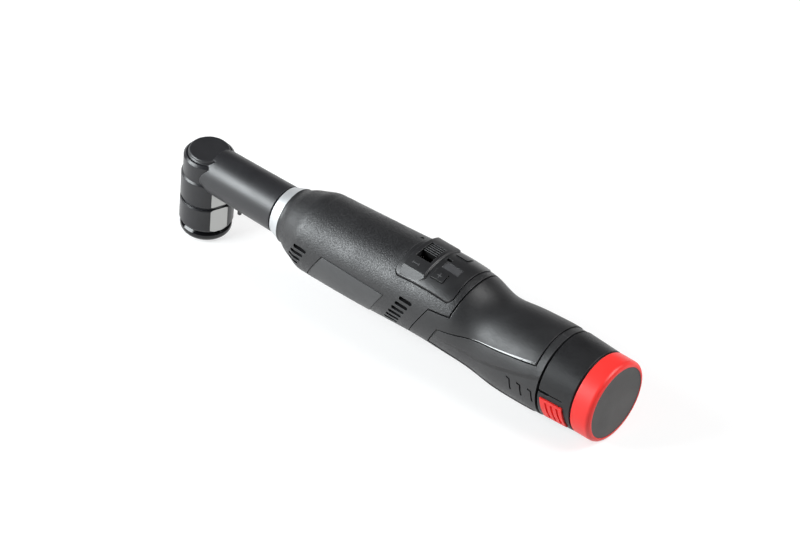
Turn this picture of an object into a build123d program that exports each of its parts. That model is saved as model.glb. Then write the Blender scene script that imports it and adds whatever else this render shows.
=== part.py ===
from build123d import *
from collections import namedtuple
import math
import os

# Cordless right-angle polisher, sizes in millimetres.
# Origin: middle of the spindle nose. +Z runs up the spindle, +X runs from the head to the battery pack.
# Heights written as _H are measured from the long axis, which lies AXIS_Z above the spindle nose.

# Shared clearances
AXIS_Z = 44.0
RUN = 0.03  # radial clearance of a shaft turning in a bearing
SLIP = 0.15  # clearance round a part that slides in a guide
SEAM = 0.8  # open line between housing and handle
SLANT_SEAM = 0.5  # the same line along its slanted part
PLATE_SEAM = 0.4  # open line round the switch block
TINY = 0.01  # keeps two faces from sharing one surface
REACH = 40.0  # further out than any part of the body, for cutting zones

# Gear head, radii and heights
CAP_R = 11.5
CAP_TOP_H = 11.5
SHOULDER_R = 12.8
SHOULDER_H = 9.0
CAP_ROUND = 1.25
CAP_RING_R = 11.85  # ring below the cap's groove
HEAD_R = 14.1
HEAD_TOP_H = 7.7
SKIRT_R = 15.0
SKIRT_TOP_H = -4.2
SKIRT_SLOPE_H = 1.1  # height of the sloped edge above the skirt
GROOVE_R = 13.8
GROOVE_TOP_H = -18.7
GROOVE_BOTTOM_H = -20.6
BAND_R = 15.05
BAND_BOTTOM_H = -36.2
EDGE_SLOPE = 0.45  # sloped upper edge of the band
EDGE_SLOPE_H = 0.8
BAND_FOOT_R = 14.25  # the band draws in at its lower edge
BAND_FOOT_H = 1.6
UNDERCUT_R = 12.5
UNDERCUT_H = 0.7
LIP_R = 14.4
LIP_FLARE_H = 1.9  # height over which the lip spreads out below its neck
LIP_EDGE = 0.8
LIP_BOTTOM_H = -43.5
LIP_ROUND = 3.6
CHAMBER_R = 10.9
CHAMBER_TOP_H = 5.9
CAP_BOSS_R = 8.5
COLLAR_BORE_R = 8.6
COLLAR_SPIGOT_L = 6.0
SEAL_GAP = 0.25
EDGE_BREAK = 0.4
FLAT_REACH = 14.1  # distance of the spanner flats from the spindle axis
FLAT_TURN = -21.0  # angle of the rear flat from the long axis
FLAT_TOP_H = -8.0

# Bevel gears
MODULE = 0.8
PINION_TEETH = 12
CROWN_TEETH = 24
FACE_WIDTH = 3.2
BACKLASH = 0.16
PRESSURE_DEG = 20.0

# Spindle and its bearings
NOSE_R = 6.5
NOSE_TOP_H = -35.4
JOURNAL_R = 5.0
GEAR_SEAT_R = 4.0
GEAR_SEAT_H = -9.4
TIP_R = 2.5
THREAD_R = 3.0
THREAD_DEPTH = 14.0
LOWER_BEARING_R = 11.0
LOWER_BEARING_W = 6.0
TOP_BEARING_R = 5.5
TOP_BEARING_W = 3.4

# Neck and drive shaft
NECK_FRONT_R = 13.2
NECK_REAR_R = 13.95
NECK_REAR_X = 54.8
NECK_HOOD_X = 8.0  # front end of the neck above the cap
NECK_SPIGOT_R = 7.0
NECK_MOUTH_R = 5.7
NECK_BORE_R = 8.0
NECK_TAIL_R = 11.5
SHAFT_R = 4.0
SHAFT_BEARING_W = 5.0
FRONT_BEARING_X = 27.0
REAR_BEARING_X = 46.0
LOCK_X = 23.5
LOCK_TIP_H = -21.7
LOCK_R = 1.2
LOCK_COLLAR_R = 2.0
LOCK_POCKET_R = 2.3
LOCK_POCKET_H = -6.9

# Ring and front of the housing
RING_X = 55.9
RING_END_X = 62.6
RING_FRONT_R = 14.1
RING_REAR_R = 16.3
NOSE_WALL = 3.2
PLATE_T = 4.0
WALL = 2.3
PLATE_R = 14.5

# Body stations along X: rise of the section's middle above the axis, and its radius
Station = namedtuple("Station", "x rise radius")
NOSE = Station(RING_END_X, 0.0, 16.4)
CHEEK = Station(68.5, -0.13, 18.7)
TEMPLE = Station(74.0, -0.25, 20.87)
LID = Station(78.0, -0.35, 22.42)
BROW = Station(80.4, -0.4, 23.14)
CREST = Station(83.2, -0.36, 23.42)
NAPE = Station(86.5, -0.2, 23.54)
CHEST = Station(92.0, 0.0, 23.65)
BELLY = Station(108.0, 0.7, 24.05)
RIB = Station(124.0, 1.6, 24.3)
BACK = Station(140.0, 2.7, 24.5)
SADDLE = Station(158.0, 4.0, 24.75)
PALM = Station(172.0, 4.15, 24.85)
HEEL = Station(182.0, 3.6, 24.75)
STEP = Station(188.0, 3.0, 24.45)
FALL = Station(196.0, 1.1, 23.45)
WAIST = Station(204.0, -0.35, 23.25)
FLARE = Station(214.0, -0.55, 24.35)
SWELL = Station(224.0, -0.2, 25.05)
TAIL = Station(234.0, 0.25, 25.3)
HEM = Station(242.0, 0.55, 25.3)
CUFF = Station(248.3, 0.7, 25.15)
CONE = [NOSE, CHEEK, TEMPLE, LID, BROW, CREST, NAPE]
FRONT_HALF = [NAPE, CHEST, BELLY, RIB, BACK, SADDLE, PALM, HEEL]
REAR_HALF = [STEP, FALL, WAIST, FLARE, SWELL, TAIL, HEM, CUFF]
BARREL = FRONT_HALF + REAR_HALF

# Joint line between motor housing and handle, seen from the side
JOINT_X = 186.0
JOINT_TOP_LEAN = 0.17  # X per unit of height above the step
JOINT_STEP_X = 173.2
JOINT_STEP_H = 14.4
JOINT_STEP_RISE = 1.2  # how much higher the step is at its rear end
JOINT_LEAN = 0.548  # X per unit of height along the slanted part
LIP_T = 1.4
LIP_REACH = 3.0

# Rubber grip
GRIP_T = 1.3
GRIP_GAP = 0.8  # groove round the rubber
PANEL_DROP = 0.35  # hard parts lie this much below the rubber
GRIP_END_X = 244.2
SIDE_FRONT_X = 182.0
SIDE_FRONT_H = 5.3
SIDE_MID_X = 224.5
SIDE_MID_H = 12.3
SIDE_END_H = 17.8
SIDE_LEAN = 0.584
SIDE_REAR_X = 260.0
SideCorner = namedtuple("SideCorner", "x h")
LOW_REAR = SideCorner(SIDE_REAR_X, -15.4)
LOW_SWELL = SideCorner(230.0, -14.4)
LOW_WAIST = SideCorner(204.0, -12.6)
LOW_PALM = SideCorner(186.0, -9.8)
LOW_FRONT_H = -8.2
TICK_X = 230.8
TICK_PITCH = 7.2
TICK_H = 2.0
TICK_DROP = 7.0
TICK_W = 1.1
TICK_DEEP = 0.8

# Vents, name plates and the small hole ahead of the switch
FRONT_VENT_X = 78.2
FRONT_VENT_L = 9.2
FRONT_VENT_N = 4
FRONT_VENT_TOP_H = 3.9
REAR_VENT_X = 148.3
REAR_VENT_L = 8.8
REAR_VENT_N = 6
REAR_VENT_TOP_H = 11.2
VENT_PITCH = 3.8
VENT_W = 2.2
VENT_LEAN = 0.52
NAME_X0 = 96.6
NAME_X1 = 139.6
NAME_TOP_H = 7.2
NAME_BOTTOM_H = -13.0
NAME_LEAN = 0.57
NAME_PROUD = 0.45
NAME_DEEP = 0.7
NAME_GAP = 0.9  # groove ahead of the name plate
PEEP_X = 142.0
PEEP_Y = 9.3
PEEP_R = 1.1

# Switch block on top of the body
BLOCK_X0 = 144.9
BLOCK_X1 = 183.8
BLOCK_HALF_W = 18.0
BLOCK_CORNER = 3.5
BLOCK_PROUD = 0.5
BLOCK_DEEP = 1.9
HUMP_X0 = 148.6
HUMP_X1 = 163.4
HUMP_TOP_H = 30.2
HUMP_CROWN_R = 30.8  # bend of the bridge's top across the tool
HUMP_EDGE_Y = 14.7
HUMP_FOOT_Y = 17.7
HUMP_FOOT_H = 21.8
HUMP_CORNER_X = 3.2  # rear corners cut off in plan
HUMP_CORNER_Y = 2.4
HUMP_BEVEL = 0.7
WINDOW_X0 = 151.2
WINDOW_X1 = 160.9
WINDOW_Y0 = -7.5
WINDOW_Y1 = 6.6
SLIDER_W = 8.3
RIB_GROOVE = 0.8
KEY_X0 = 166.0
KEY_X1 = 173.7
KEY_Y0 = 8.1
KEY_Y1 = 12.9
KEY_GAP = 0.3  # open line round a key
GLASS_X0 = 167.2
GLASS_X1 = 177.8
GLASS_Y0 = -5.4
GLASS_Y1 = -0.6
NOTCH_X0 = 165.1  # small dark recess beside the window
NOTCH_X1 = 168.6
NOTCH_Y0 = 0.1
NOTCH_Y1 = 2.2
NOTCH_DEEP = 1.3

# Motor
FAN_X0 = 77.6
FAN_X1 = 84.6
FAN_R = 17.6
MOTOR_X0 = 89.0
MOTOR_X1 = 138.0
MOTOR_R = 18.0
CAN_T = 1.4
MAGNET_T = 4.0
ROTOR_R = 11.6
MOTOR_SHAFT_R = 2.5
BELL_L = 7.0
FACE_SCREW_Y = 13.0
FACE_SCREW_R = 1.5
FLANGE_T = 2.2
COUPLER_X0 = 66.5
COUPLER_X1 = 76.5
COUPLER_R = 6.5

# Battery pack
PACK_RISE = 1.2
STEM_RISE = 0.5
STEM_X = 212.5
STEM_R = 20.9
STEM_WALL = 1.1
BAY_R = 21.2
BAY_X = 211.5
BULKHEAD_T = 3.0
PACK_X = 249.5
PACK_FRONT_R = 24.75
PACK_REAR_R = 23.75
RED_GAP = 1.0  # groove between case and cap
RED_X = 270.9
RED_R = 23.75
RED_ROUND = 2.6
PACK_END_X = 283.0
END_PLATE_R = 20.9
PLATE_DEEP = 0.8
CELL_R = 9.1
CELL_L = 64.5
RELEASE_X0 = 251.6
RELEASE_X1 = 265.6
RELEASE_TOP_H = 2.0
RELEASE_BOTTOM_H = -11.6
RELEASE_PROUD = 0.9
RIB_GAP = 1.3  # grooves in the release buttons
RELEASE_STROKE = 1.5


def rod_x(radius, x0, x1, y=0.0, h=0.0):
    """Round bar along X at a height above the long axis."""
    return Pos((x0 + x1) / 2, y, AXIS_Z + h) * Rot(0, 90, 0) * Cylinder(radius, x1 - x0)


def cone_x(r0, r1, x0, x1, h=0.0):
    """Tapered bar along X."""
    return Pos((x0 + x1) / 2, 0, AXIS_Z + h) * Rot(0, 90, 0) * Cone(r0, r1, x1 - x0)


def rod_z(radius, h0, h1, x=0.0, y=0.0):
    """Upright round bar between two heights above the long axis."""
    return Pos(x, y, AXIS_Z + (h0 + h1) / 2) * Cylinder(radius, h1 - h0)


def rod_y(radius, y0, y1, x, h):
    """Round bar across the tool."""
    return Pos(x, (y0 + y1) / 2, AXIS_Z + h) * Rot(90, 0, 0) * Cylinder(radius, y1 - y0)


def block(x0, x1, y0, y1, h0, h1):
    """Box between limits, heights above the long axis."""
    middle = Pos((x0 + x1) / 2, (y0 + y1) / 2, AXIS_Z + (h0 + h1) / 2)
    return middle * Box(x1 - x0, y1 - y0, h1 - h0)


def slab(x0, x1):
    """Everything between two places along X."""
    return block(x0, x1, -REACH, REACH, -REACH, REACH)


def around(angle):
    """Turn about the long axis."""
    return Pos(0, 0, AXIS_Z) * Rot(angle, 0, 0) * Pos(0, 0, -AXIS_Z)


def ring_points(radius, angles):
    """Places (y, height) on a circle round the long axis."""
    places = []
    for angle in angles:
        turn = math.radians(angle)
        places.append((radius * math.cos(turn), radius * math.sin(turn)))
    return places


def turned(*points):
    """Solid turned about the spindle from (radius, height) corners."""
    outline = Polyline(*[(r, 0, AXIS_Z + h) for r, h in points], close=True)
    return revolve(make_face(outline), Axis.Z)


def turned_x(*points, rise=0.0):
    """Solid turned about the long axis from (x, radius) corners."""
    middle = AXIS_Z + rise
    outline = Polyline(*[(x, 0, middle + r) for x, r in points], close=True)
    return revolve(make_face(outline), Axis((0, 0, middle), (1, 0, 0)))


def prism_y(points, y0, y1):
    """Prism across the tool from side-view (x, height) corners."""
    outline = Polyline(*[(x, y0, AXIS_Z + h) for x, h in points], close=True)
    return extrude(make_face(outline), amount=y1 - y0, dir=(0, 1, 0))


def mirrored(shape):
    """The same shape on the other side of the middle plane."""
    return mirror(shape, about=Plane.XZ)


def skin(inset=0.0, stations=BARREL):
    """Smooth body solid through the stations, shrunk by inset."""
    rings = []
    for s in stations:
        plane = Plane(origin=(s.x, 0, AXIS_Z + s.rise), x_dir=(0, 1, 0), z_dir=(1, 0, 0))
        rings.append(plane * Circle(s.radius - inset))
    return loft(rings)


def soft_rim(shape, radius, size, h=None, x=None):
    """Round the circular edges of one radius that lie at a height, or at a place along X."""
    rims = []
    for edge in shape.edges().filter_by(GeomType.CIRCLE):
        middle = edge.arc_center
        level = middle.Z - AXIS_Z - h if x is None else middle.X - x
        if abs(edge.radius - radius) < TINY and abs(level) < TINY:
            rims.append(edge)
    return fillet(rims, size)


def one(shape):
    """A single clean part from the result of several cuts."""
    return Part() + shape.solids()


def save(shape, node):
    """Write one node."""
    export_step(shape, "parts/" + node + ".step")


os.makedirs("parts", exist_ok=True)

# Gear head
head_outer = turned(
    (0, SHOULDER_H), (SHOULDER_R, SHOULDER_H), (HEAD_R, HEAD_TOP_H),
    (HEAD_R, SKIRT_TOP_H + SKIRT_SLOPE_H), (SKIRT_R, SKIRT_TOP_H), (SKIRT_R, GROOVE_TOP_H + EDGE_BREAK),
    (SKIRT_R - EDGE_BREAK, GROOVE_TOP_H), (0, GROOVE_TOP_H))
flat_cut = block(FLAT_REACH, 20, -15, 15, GROOVE_TOP_H - 20, FLAT_TOP_H)
flats = Rot(0, 0, FLAT_TURN) * flat_cut + Rot(0, 0, FLAT_TURN + 180) * flat_cut
gear_head = head_outer - flats
gear_head -= rod_z(CHAMBER_R, GROOVE_TOP_H - 1, CHAMBER_TOP_H)
gear_head -= rod_z(CAP_BOSS_R, CHAMBER_TOP_H - 1, SHOULDER_H + 1)
gear_head -= rod_x(NECK_SPIGOT_R, 2, 16)
save(one(gear_head), "gear_head")

cap_groove_h = CAP_TOP_H - CAP_ROUND - 0.05
head_cap = turned(
    (0, CAP_TOP_H), (CAP_R, CAP_TOP_H), (CAP_R, cap_groove_h), (CAP_R - 0.4, cap_groove_h - 0.05),
    (CAP_R - 0.4, cap_groove_h - 0.25), (CAP_RING_R, cap_groove_h - 0.95), (CAP_RING_R, SHOULDER_H),
    (CAP_BOSS_R - TINY, SHOULDER_H), (CAP_BOSS_R - TINY, CHAMBER_TOP_H + 0.1), (0, CHAMBER_TOP_H + 0.1))
head_cap = soft_rim(head_cap, CAP_R, CAP_ROUND, h=CAP_TOP_H)
bearing_top_h = CHAMBER_TOP_H + 0.4 + TOP_BEARING_W
head_cap -= rod_z(TOP_BEARING_R, CHAMBER_TOP_H - 1, bearing_top_h)
head_cap -= rod_z(TOP_BEARING_R - 1.2, bearing_top_h - 1, bearing_top_h + 0.5)
save(one(head_cap), "head_cap")

head_collar = turned(
    (CHAMBER_R - TINY, GROOVE_TOP_H + COLLAR_SPIGOT_L), (CHAMBER_R - TINY, GROOVE_TOP_H),
    (GROOVE_R, GROOVE_TOP_H), (GROOVE_R, GROOVE_BOTTOM_H), (BAND_R - EDGE_SLOPE, GROOVE_BOTTOM_H),
    (BAND_R, GROOVE_BOTTOM_H - EDGE_SLOPE_H), (BAND_R, BAND_BOTTOM_H + BAND_FOOT_H),
    (BAND_FOOT_R, BAND_BOTTOM_H), (LOWER_BEARING_R, BAND_BOTTOM_H),
    (LOWER_BEARING_R, NOSE_TOP_H + LOWER_BEARING_W), (COLLAR_BORE_R, NOSE_TOP_H + LOWER_BEARING_W),
    (COLLAR_BORE_R, GROOVE_TOP_H + COLLAR_SPIGOT_L))
save(one(head_collar - flats), "head_collar")

seal_spigot_h = NOSE_TOP_H - 0.05
lip_top_h = BAND_BOTTOM_H - UNDERCUT_H - LIP_FLARE_H
seal_ring = turned(
    (NOSE_R + SEAL_GAP, seal_spigot_h), (LOWER_BEARING_R - TINY, seal_spigot_h),
    (LOWER_BEARING_R - TINY, BAND_BOTTOM_H), (UNDERCUT_R, BAND_BOTTOM_H),
    (UNDERCUT_R, BAND_BOTTOM_H - UNDERCUT_H), (LIP_R, lip_top_h), (LIP_R, LIP_BOTTOM_H),
    (NOSE_R + 1.4, LIP_BOTTOM_H), (NOSE_R + SEAL_GAP, LIP_BOTTOM_H + 1.2))
seal_ring = soft_rim(seal_ring, LIP_R, LIP_ROUND, h=LIP_BOTTOM_H)
seal_ring = soft_rim(seal_ring, LIP_R, LIP_EDGE, h=lip_top_h)
save(one(seal_ring), "seal_ring")

# Bevel gears, drawn with the cone's point at the crossing of the two axes
crown_pitch_r = MODULE * CROWN_TEETH / 2
pinion_pitch_r = MODULE * PINION_TEETH / 2
cone_distance = math.hypot(crown_pitch_r, pinion_pitch_r)
ADDENDUM = 0.7 * MODULE
DEDENDUM = 0.9 * MODULE


def tooth(pitch_deg):
    """One tapered tooth on the +X side of a gear whose axis is +Z and whose cone point is the origin."""
    angle = math.radians(pitch_deg)
    along = Vector(math.sin(angle), 0, math.cos(angle))
    out = Vector(math.cos(angle), 0, -math.sin(angle))
    half = (math.pi * MODULE / 2 - BACKLASH) / 2
    slope = math.tan(math.radians(PRESSURE_DEG))
    sections = []
    for distance in (cone_distance - FACE_WIDTH, cone_distance):
        k = distance / cone_distance
        foot = along * distance
        root = DEDENDUM + 0.25
        corners = []
        for height, side in ((-root, -1), (ADDENDUM, -1), (ADDENDUM, 1), (-root, 1)):
            width = half - height * slope
            corners.append(foot + out * (height * k) + Vector(0, side * width * k, 0))
        sections.append(make_face(Polyline(*corners, close=True)))
    return loft(sections)


def bevel_gear(teeth, pitch_deg, hub_r, hub_end, phase):
    """Toothed blank with its axis on +Z, hub from the teeth's back to hub_end."""
    angle = math.radians(pitch_deg) - math.atan(DEDENDUM / cone_distance)
    near = (cone_distance - FACE_WIDTH) / math.cos(math.atan(DEDENDUM / cone_distance))
    far = cone_distance / math.cos(math.atan(DEDENDUM / cone_distance))
    inner = (near * math.sin(angle), near * math.cos(angle))
    outer = (far * math.sin(angle), far * math.cos(angle))
    outline = Polyline(
        (0, 0, inner[1]), (inner[0], 0, inner[1]), (outer[0], 0, outer[1]), (hub_r, 0, outer[1] + 1.4),
        (hub_r, 0, hub_end), (0, 0, hub_end), close=True)
    gear = revolve(make_face(outline), Axis.Z)
    cog = tooth(pitch_deg)
    cogs = [Rot(0, 0, phase + 360 * i / teeth) * cog for i in range(teeth)]
    return gear + cogs


pinion_deg = math.degrees(math.atan2(pinion_pitch_r, crown_pitch_r))
pinion_hub_x = 14.0
bevel_pinion = bevel_gear(PINION_TEETH, pinion_deg, 4.6, pinion_hub_x, 0)
# The tooth made at local +X faces down once the gear's axis is laid along the tool
bevel_pinion = Pos(0, 0, AXIS_Z) * Rot(0, 90, 0) * bevel_pinion
pinion_bore_r = 2.0
bevel_pinion -= rod_x(pinion_bore_r, 0, 20)
save(one(bevel_pinion), "bevel_pinion")

crown_hub = -GEAR_SEAT_H
crown_gear = bevel_gear(CROWN_TEETH, 90 - pinion_deg, 6.6, crown_hub, 180 / CROWN_TEETH)
crown_gear = Pos(0, 0, AXIS_Z) * Rot(180, 0, 0) * crown_gear
crown_gear -= rod_z(GEAR_SEAT_R, -20, 10)
save(one(crown_gear), "crown_gear")

# Spindle and its two bearings
spindle_tip_h = CHAMBER_TOP_H + 0.4 + TOP_BEARING_W - 0.2
spindle = turned(
    (0, spindle_tip_h), (TIP_R - RUN, spindle_tip_h), (TIP_R - RUN, 0), (GEAR_SEAT_R, -1.5),
    (GEAR_SEAT_R, GEAR_SEAT_H), (JOURNAL_R - RUN, GEAR_SEAT_H), (JOURNAL_R - RUN, NOSE_TOP_H),
    (NOSE_R, NOSE_TOP_H), (NOSE_R, -AXIS_Z), (0, -AXIS_Z))
spindle -= rod_z(THREAD_R, -AXIS_Z - 1, -AXIS_Z + THREAD_DEPTH)
save(one(spindle), "spindle")


def bearing_z(bore_r, outer_r, h0, h1):
    """Shielded ball bearing on the spindle, drawn as one ring with its two shield grooves."""
    ring = rod_z(outer_r, h0, h1) - rod_z(bore_r, h0 - 1, h1 + 1)
    middle = (bore_r + outer_r) / 2
    width = (outer_r - bore_r) / 5
    groove = rod_z(middle + width, h1 - 0.3, h1 + 1) - rod_z(middle - width, h1 - 1, h1 + 2)
    low = rod_z(middle + width, h0 - 1, h0 + 0.3) - rod_z(middle - width, h0 - 2, h0 + 1)
    return ring - groove - low


def bearing_x(bore_r, outer_r, x0, x1):
    """The same kind of bearing on the drive shaft."""
    flat = bearing_z(bore_r, outer_r, x0, x1)
    return Pos(0, 0, AXIS_Z) * Rot(0, 90, 0) * Pos(0, 0, -AXIS_Z) * flat


spindle_bearing = bearing_z(JOURNAL_R, LOWER_BEARING_R, NOSE_TOP_H, NOSE_TOP_H + LOWER_BEARING_W)
save(one(spindle_bearing), "spindle_bearing")
save(one(bearing_z(TIP_R, TOP_BEARING_R, CHAMBER_TOP_H + 0.4, bearing_top_h)), "top_bearing")

# Neck tube, cut to sit on the side of the head
neck_cone = cone_x(NECK_FRONT_R, NECK_REAR_R, 0, NECK_REAR_X)
hood_h = CAP_TOP_H + 0.15
cap_space = rod_z(CAP_R + 0.5, SHOULDER_H - 1, hood_h) + block(-20, NECK_HOOD_X, -20, 20, hood_h, 20)
neck_tube = neck_cone - head_outer - cap_space
neck_tube += rod_x(NECK_SPIGOT_R - TINY, 11.4, 20)
neck_tube += rod_x(NECK_TAIL_R, NECK_REAR_X - 2, RING_END_X + NOSE_WALL + PLATE_T)
neck_tube -= rod_x(NECK_MOUTH_R, 5, FRONT_BEARING_X + 1)
neck_tube -= rod_x(NECK_BORE_R, FRONT_BEARING_X, 80)
lock_bush_h = -11.6
neck_tube -= rod_z(LOCK_POCKET_R, -20, LOCK_POCKET_H, LOCK_X)
neck_tube -= rod_z(LOCK_R + SLIP, -9, -3, LOCK_X)
save(one(neck_tube), "neck_tube")

# Spindle lock
lock_pin = rod_z(LOCK_R, LOCK_TIP_H + 0.6, -4.6, LOCK_X)
lock_pin += Pos(LOCK_X, 0, AXIS_Z + LOCK_TIP_H + 0.3) * Cone(LOCK_R - 0.5, LOCK_R, 0.6)
lock_pin += rod_z(LOCK_COLLAR_R, lock_bush_h, lock_bush_h + 1.0, LOCK_X)
save(one(lock_pin), "lock_pin")
lock_bush = rod_z(LOCK_POCKET_R - TINY, -NECK_REAR_R, lock_bush_h, LOCK_X) & neck_cone
lock_bush -= rod_z(LOCK_R + RUN, -20, 0, LOCK_X)
save(one(lock_bush), "lock_bush")
spring_turns = 2.5
spring_wire = 0.18
spring_h0 = lock_bush_h + 1.0 + spring_wire + 0.02
spring_h1 = LOCK_POCKET_H - spring_wire - 0.02
coil = Helix((spring_h1 - spring_h0) / spring_turns, spring_h1 - spring_h0, LOCK_R + 0.45)
coil_start = Plane(origin=coil @ 0, z_dir=coil % 0)
lock_spring = sweep(coil_start * Circle(spring_wire), path=coil)
save(one(Pos(LOCK_X, 0, AXIS_Z + spring_h0) * lock_spring), "lock_spring")

# Drive shaft and its bearings
shaft_end_x = COUPLER_X0 + 4.5
drive_shaft = rod_x(pinion_bore_r, 8.4, pinion_hub_x + 1) + rod_x(SHAFT_R - RUN, pinion_hub_x, shaft_end_x)
for turn in (0, 90):
    drive_shaft -= around(turn) * rod_z(LOCK_R + 0.2, -9, 9, LOCK_X)
save(one(drive_shaft), "drive_shaft")
for node, x in (("front_bearing", FRONT_BEARING_X), ("rear_bearing", REAR_BEARING_X)):
    save(one(bearing_x(SHAFT_R, NECK_BORE_R, x, x + SHAFT_BEARING_W)), node)
spacer_x0 = FRONT_BEARING_X + SHAFT_BEARING_W
bearing_spacer = rod_x(NECK_BORE_R - 0.05, spacer_x0, REAR_BEARING_X) - rod_x(NECK_BORE_R - 1.5, 20, 60)
save(one(bearing_spacer), "bearing_spacer")

# Aluminium ring, front wall of the housing and the inner plate
clamp_ring = cone_x(RING_FRONT_R, RING_REAR_R, RING_X, RING_END_X) - rod_x(NECK_TAIL_R, 50, 70)
plate_x0 = RING_END_X + NOSE_WALL
plate_x1 = plate_x0 + PLATE_T
screw_ring_r = 13.0
screw_r = 0.9
SCREW_ANGLES = [45, 135, 225, 315]
neck_screws = Part()
SCREW_PLACES = ring_points(screw_ring_r, SCREW_ANGLES)
for y, h in SCREW_PLACES:
    shank = rod_x(screw_r, RING_END_X - 4, plate_x1, y, h)
    head = rod_x(1.6, plate_x1, plate_x1 + 1.6, y, h) - rod_x(0.7, plate_x1 + 0.7, plate_x1 + 2, y, h)
    hole = rod_x(screw_r, 50, plate_x1 + 3, y, h) & block(RING_END_X - 4, 80, -30, 30, -30, 30)
    clamp_ring -= hole
    neck_screws += shank + head
save(one(clamp_ring), "clamp_ring")
save(one(neck_screws), "neck_screws")
front_plate = rod_x(PLATE_R, plate_x0, plate_x1) - rod_x(NECK_TAIL_R, 50, 80)
for y, h in SCREW_PLACES:
    front_plate -= rod_x(screw_r, 50, 80, y, h)
save(one(front_plate), "front_plate")

# Body envelopes
body_outer = skin(0.0, CONE) + skin()


def joint_zone(dx=0.0, dh=0.0, slant=0.0):
    """Everything behind the joint line.

    Its upright part is moved by dx, its step by dh and its slanted part by slant.
    """
    low = -40.0
    high = 60.0
    step_rear_h = JOINT_STEP_H + JOINT_STEP_RISE
    top_x = JOINT_X + JOINT_TOP_LEAN * (high - step_rear_h)
    step_x = JOINT_STEP_X + JOINT_LEAN * dh + slant * math.hypot(1, JOINT_LEAN)
    foot_x = step_x - JOINT_LEAN * (JOINT_STEP_H + dh - low)
    corners = [
        (top_x + dx, high), (JOINT_X + dx, step_rear_h + dh), (step_x, JOINT_STEP_H + dh), (foot_x, low),
        (300, low), (300, high)]
    return prism_y(corners, -REACH, REACH)


# Motor housing
housing_shell = body_outer - joint_zone()
housing_core = (skin(WALL, CONE) + skin(WALL)) & slab(plate_x0, 300)
motor_housing = housing_shell - housing_core
motor_housing -= rod_x(NECK_TAIL_R, 50, 90)
for y, h in SCREW_PLACES:
    motor_housing -= rod_x(screw_r, 50, plate_x0 + 1, y, h)


def vent(x, h, length):
    """One round-ended slot along X through the left wall."""
    half = VENT_W / 2
    slot = block(x + half, x + length - half, -40, -14, h - half, h + half)
    return slot + rod_y(half, -40, -14, x + half, h) + rod_y(half, -40, -14, x + length - half, h)


slots = []
for i in range(FRONT_VENT_N):
    h = FRONT_VENT_TOP_H - VENT_PITCH * i
    slots.append(vent(FRONT_VENT_X + VENT_LEAN * h, h, FRONT_VENT_L))
for i in range(REAR_VENT_N):
    h = REAR_VENT_TOP_H - VENT_PITCH * i
    slots.append(vent(REAR_VENT_X + VENT_LEAN * h, h, REAR_VENT_L))
for slot in slots:
    motor_housing -= slot
    motor_housing -= mirrored(slot)

# Ribs that hold the motor can
ribs = block(MOTOR_X0 + 6, MOTOR_X1 - 6, -1.2, 1.2, -30, 32)
ribs += block(MOTOR_X0 + 6, MOTOR_X1 - 6, -30, 30, -1.2, 1.2)
ribs = (ribs & skin(WALL - 0.3)) - rod_x(MOTOR_R, MOTOR_X0 - 5, MOTOR_X1 + 5)
motor_housing += ribs

# Inner flange the motor is screwed to, and ledges under the control board
flange_x0 = MOTOR_X0 - FLANGE_T
flange = (skin(WALL - 0.3) & block(flange_x0, MOTOR_X0, -30, 30, -30, 30)) - rod_x(8.0, 60, 100)
for y in (-FACE_SCREW_Y, FACE_SCREW_Y):
    flange -= rod_x(FACE_SCREW_R, 60, 100, y)
for y, h in ring_points(FACE_SCREW_Y, (45, 90, 135, 225, 270, 315)):
    flange -= rod_x(3.2, 60, 100, y, h)
motor_housing += flange
ledge = block(148.5, 160.0, -30, -13.0, 2.4, 4.0) & skin(WALL - 0.3)
motor_housing += ledge
motor_housing += mirrored(ledge)

# Name plates, proud of the flanks


def name_zone(front_gap=0.0):
    """Side view of a name plate, with room ahead of it."""
    corners = []
    for x, h in (
            (NAME_X0 - front_gap, NAME_TOP_H), (NAME_X1, NAME_TOP_H),
            (NAME_X1, NAME_BOTTOM_H), (NAME_X0 - front_gap, NAME_BOTTOM_H)):
        corners.append((x + NAME_LEAN * h, h))
    return prism_y(corners, -REACH, -10)


name_plate = name_zone() & (skin(-NAME_PROUD) - skin(NAME_DEEP))
name_pocket = name_zone(NAME_GAP) & (skin(-2) - skin(NAME_DEEP))
side_plates = Part() + name_plate.solids() + mirrored(name_plate).solids()
motor_housing -= name_pocket
motor_housing -= mirrored(name_pocket)
save(side_plates, "side_plates")

# Recess for the switch block, and the small hole ahead of it
block_plan = RectangleRounded(BLOCK_X1 - BLOCK_X0, 2 * BLOCK_HALF_W, BLOCK_CORNER)
block_plan = Pos((BLOCK_X0 + BLOCK_X1) / 2, 0, 0) * block_plan
block_zone = extrude(Pos(0, 0, AXIS_Z + 12) * block_plan, amount=40)
recess_plan = offset(block_plan, PLATE_SEAM)
recess_zone = extrude(Pos(0, 0, AXIS_Z + 12) * recess_plan, amount=40)
motor_housing -= recess_zone & (skin(-4) - skin(BLOCK_DEEP))
inner_opening = block(BLOCK_X0 + 4, BLOCK_X1 - 4, -BLOCK_HALF_W + 3, BLOCK_HALF_W - 3, 12, 40)
motor_housing -= inner_opening
motor_housing -= rod_z(PEEP_R, 15, 40, PEEP_X, PEEP_Y)
save(one(motor_housing), "motor_housing")

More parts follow.
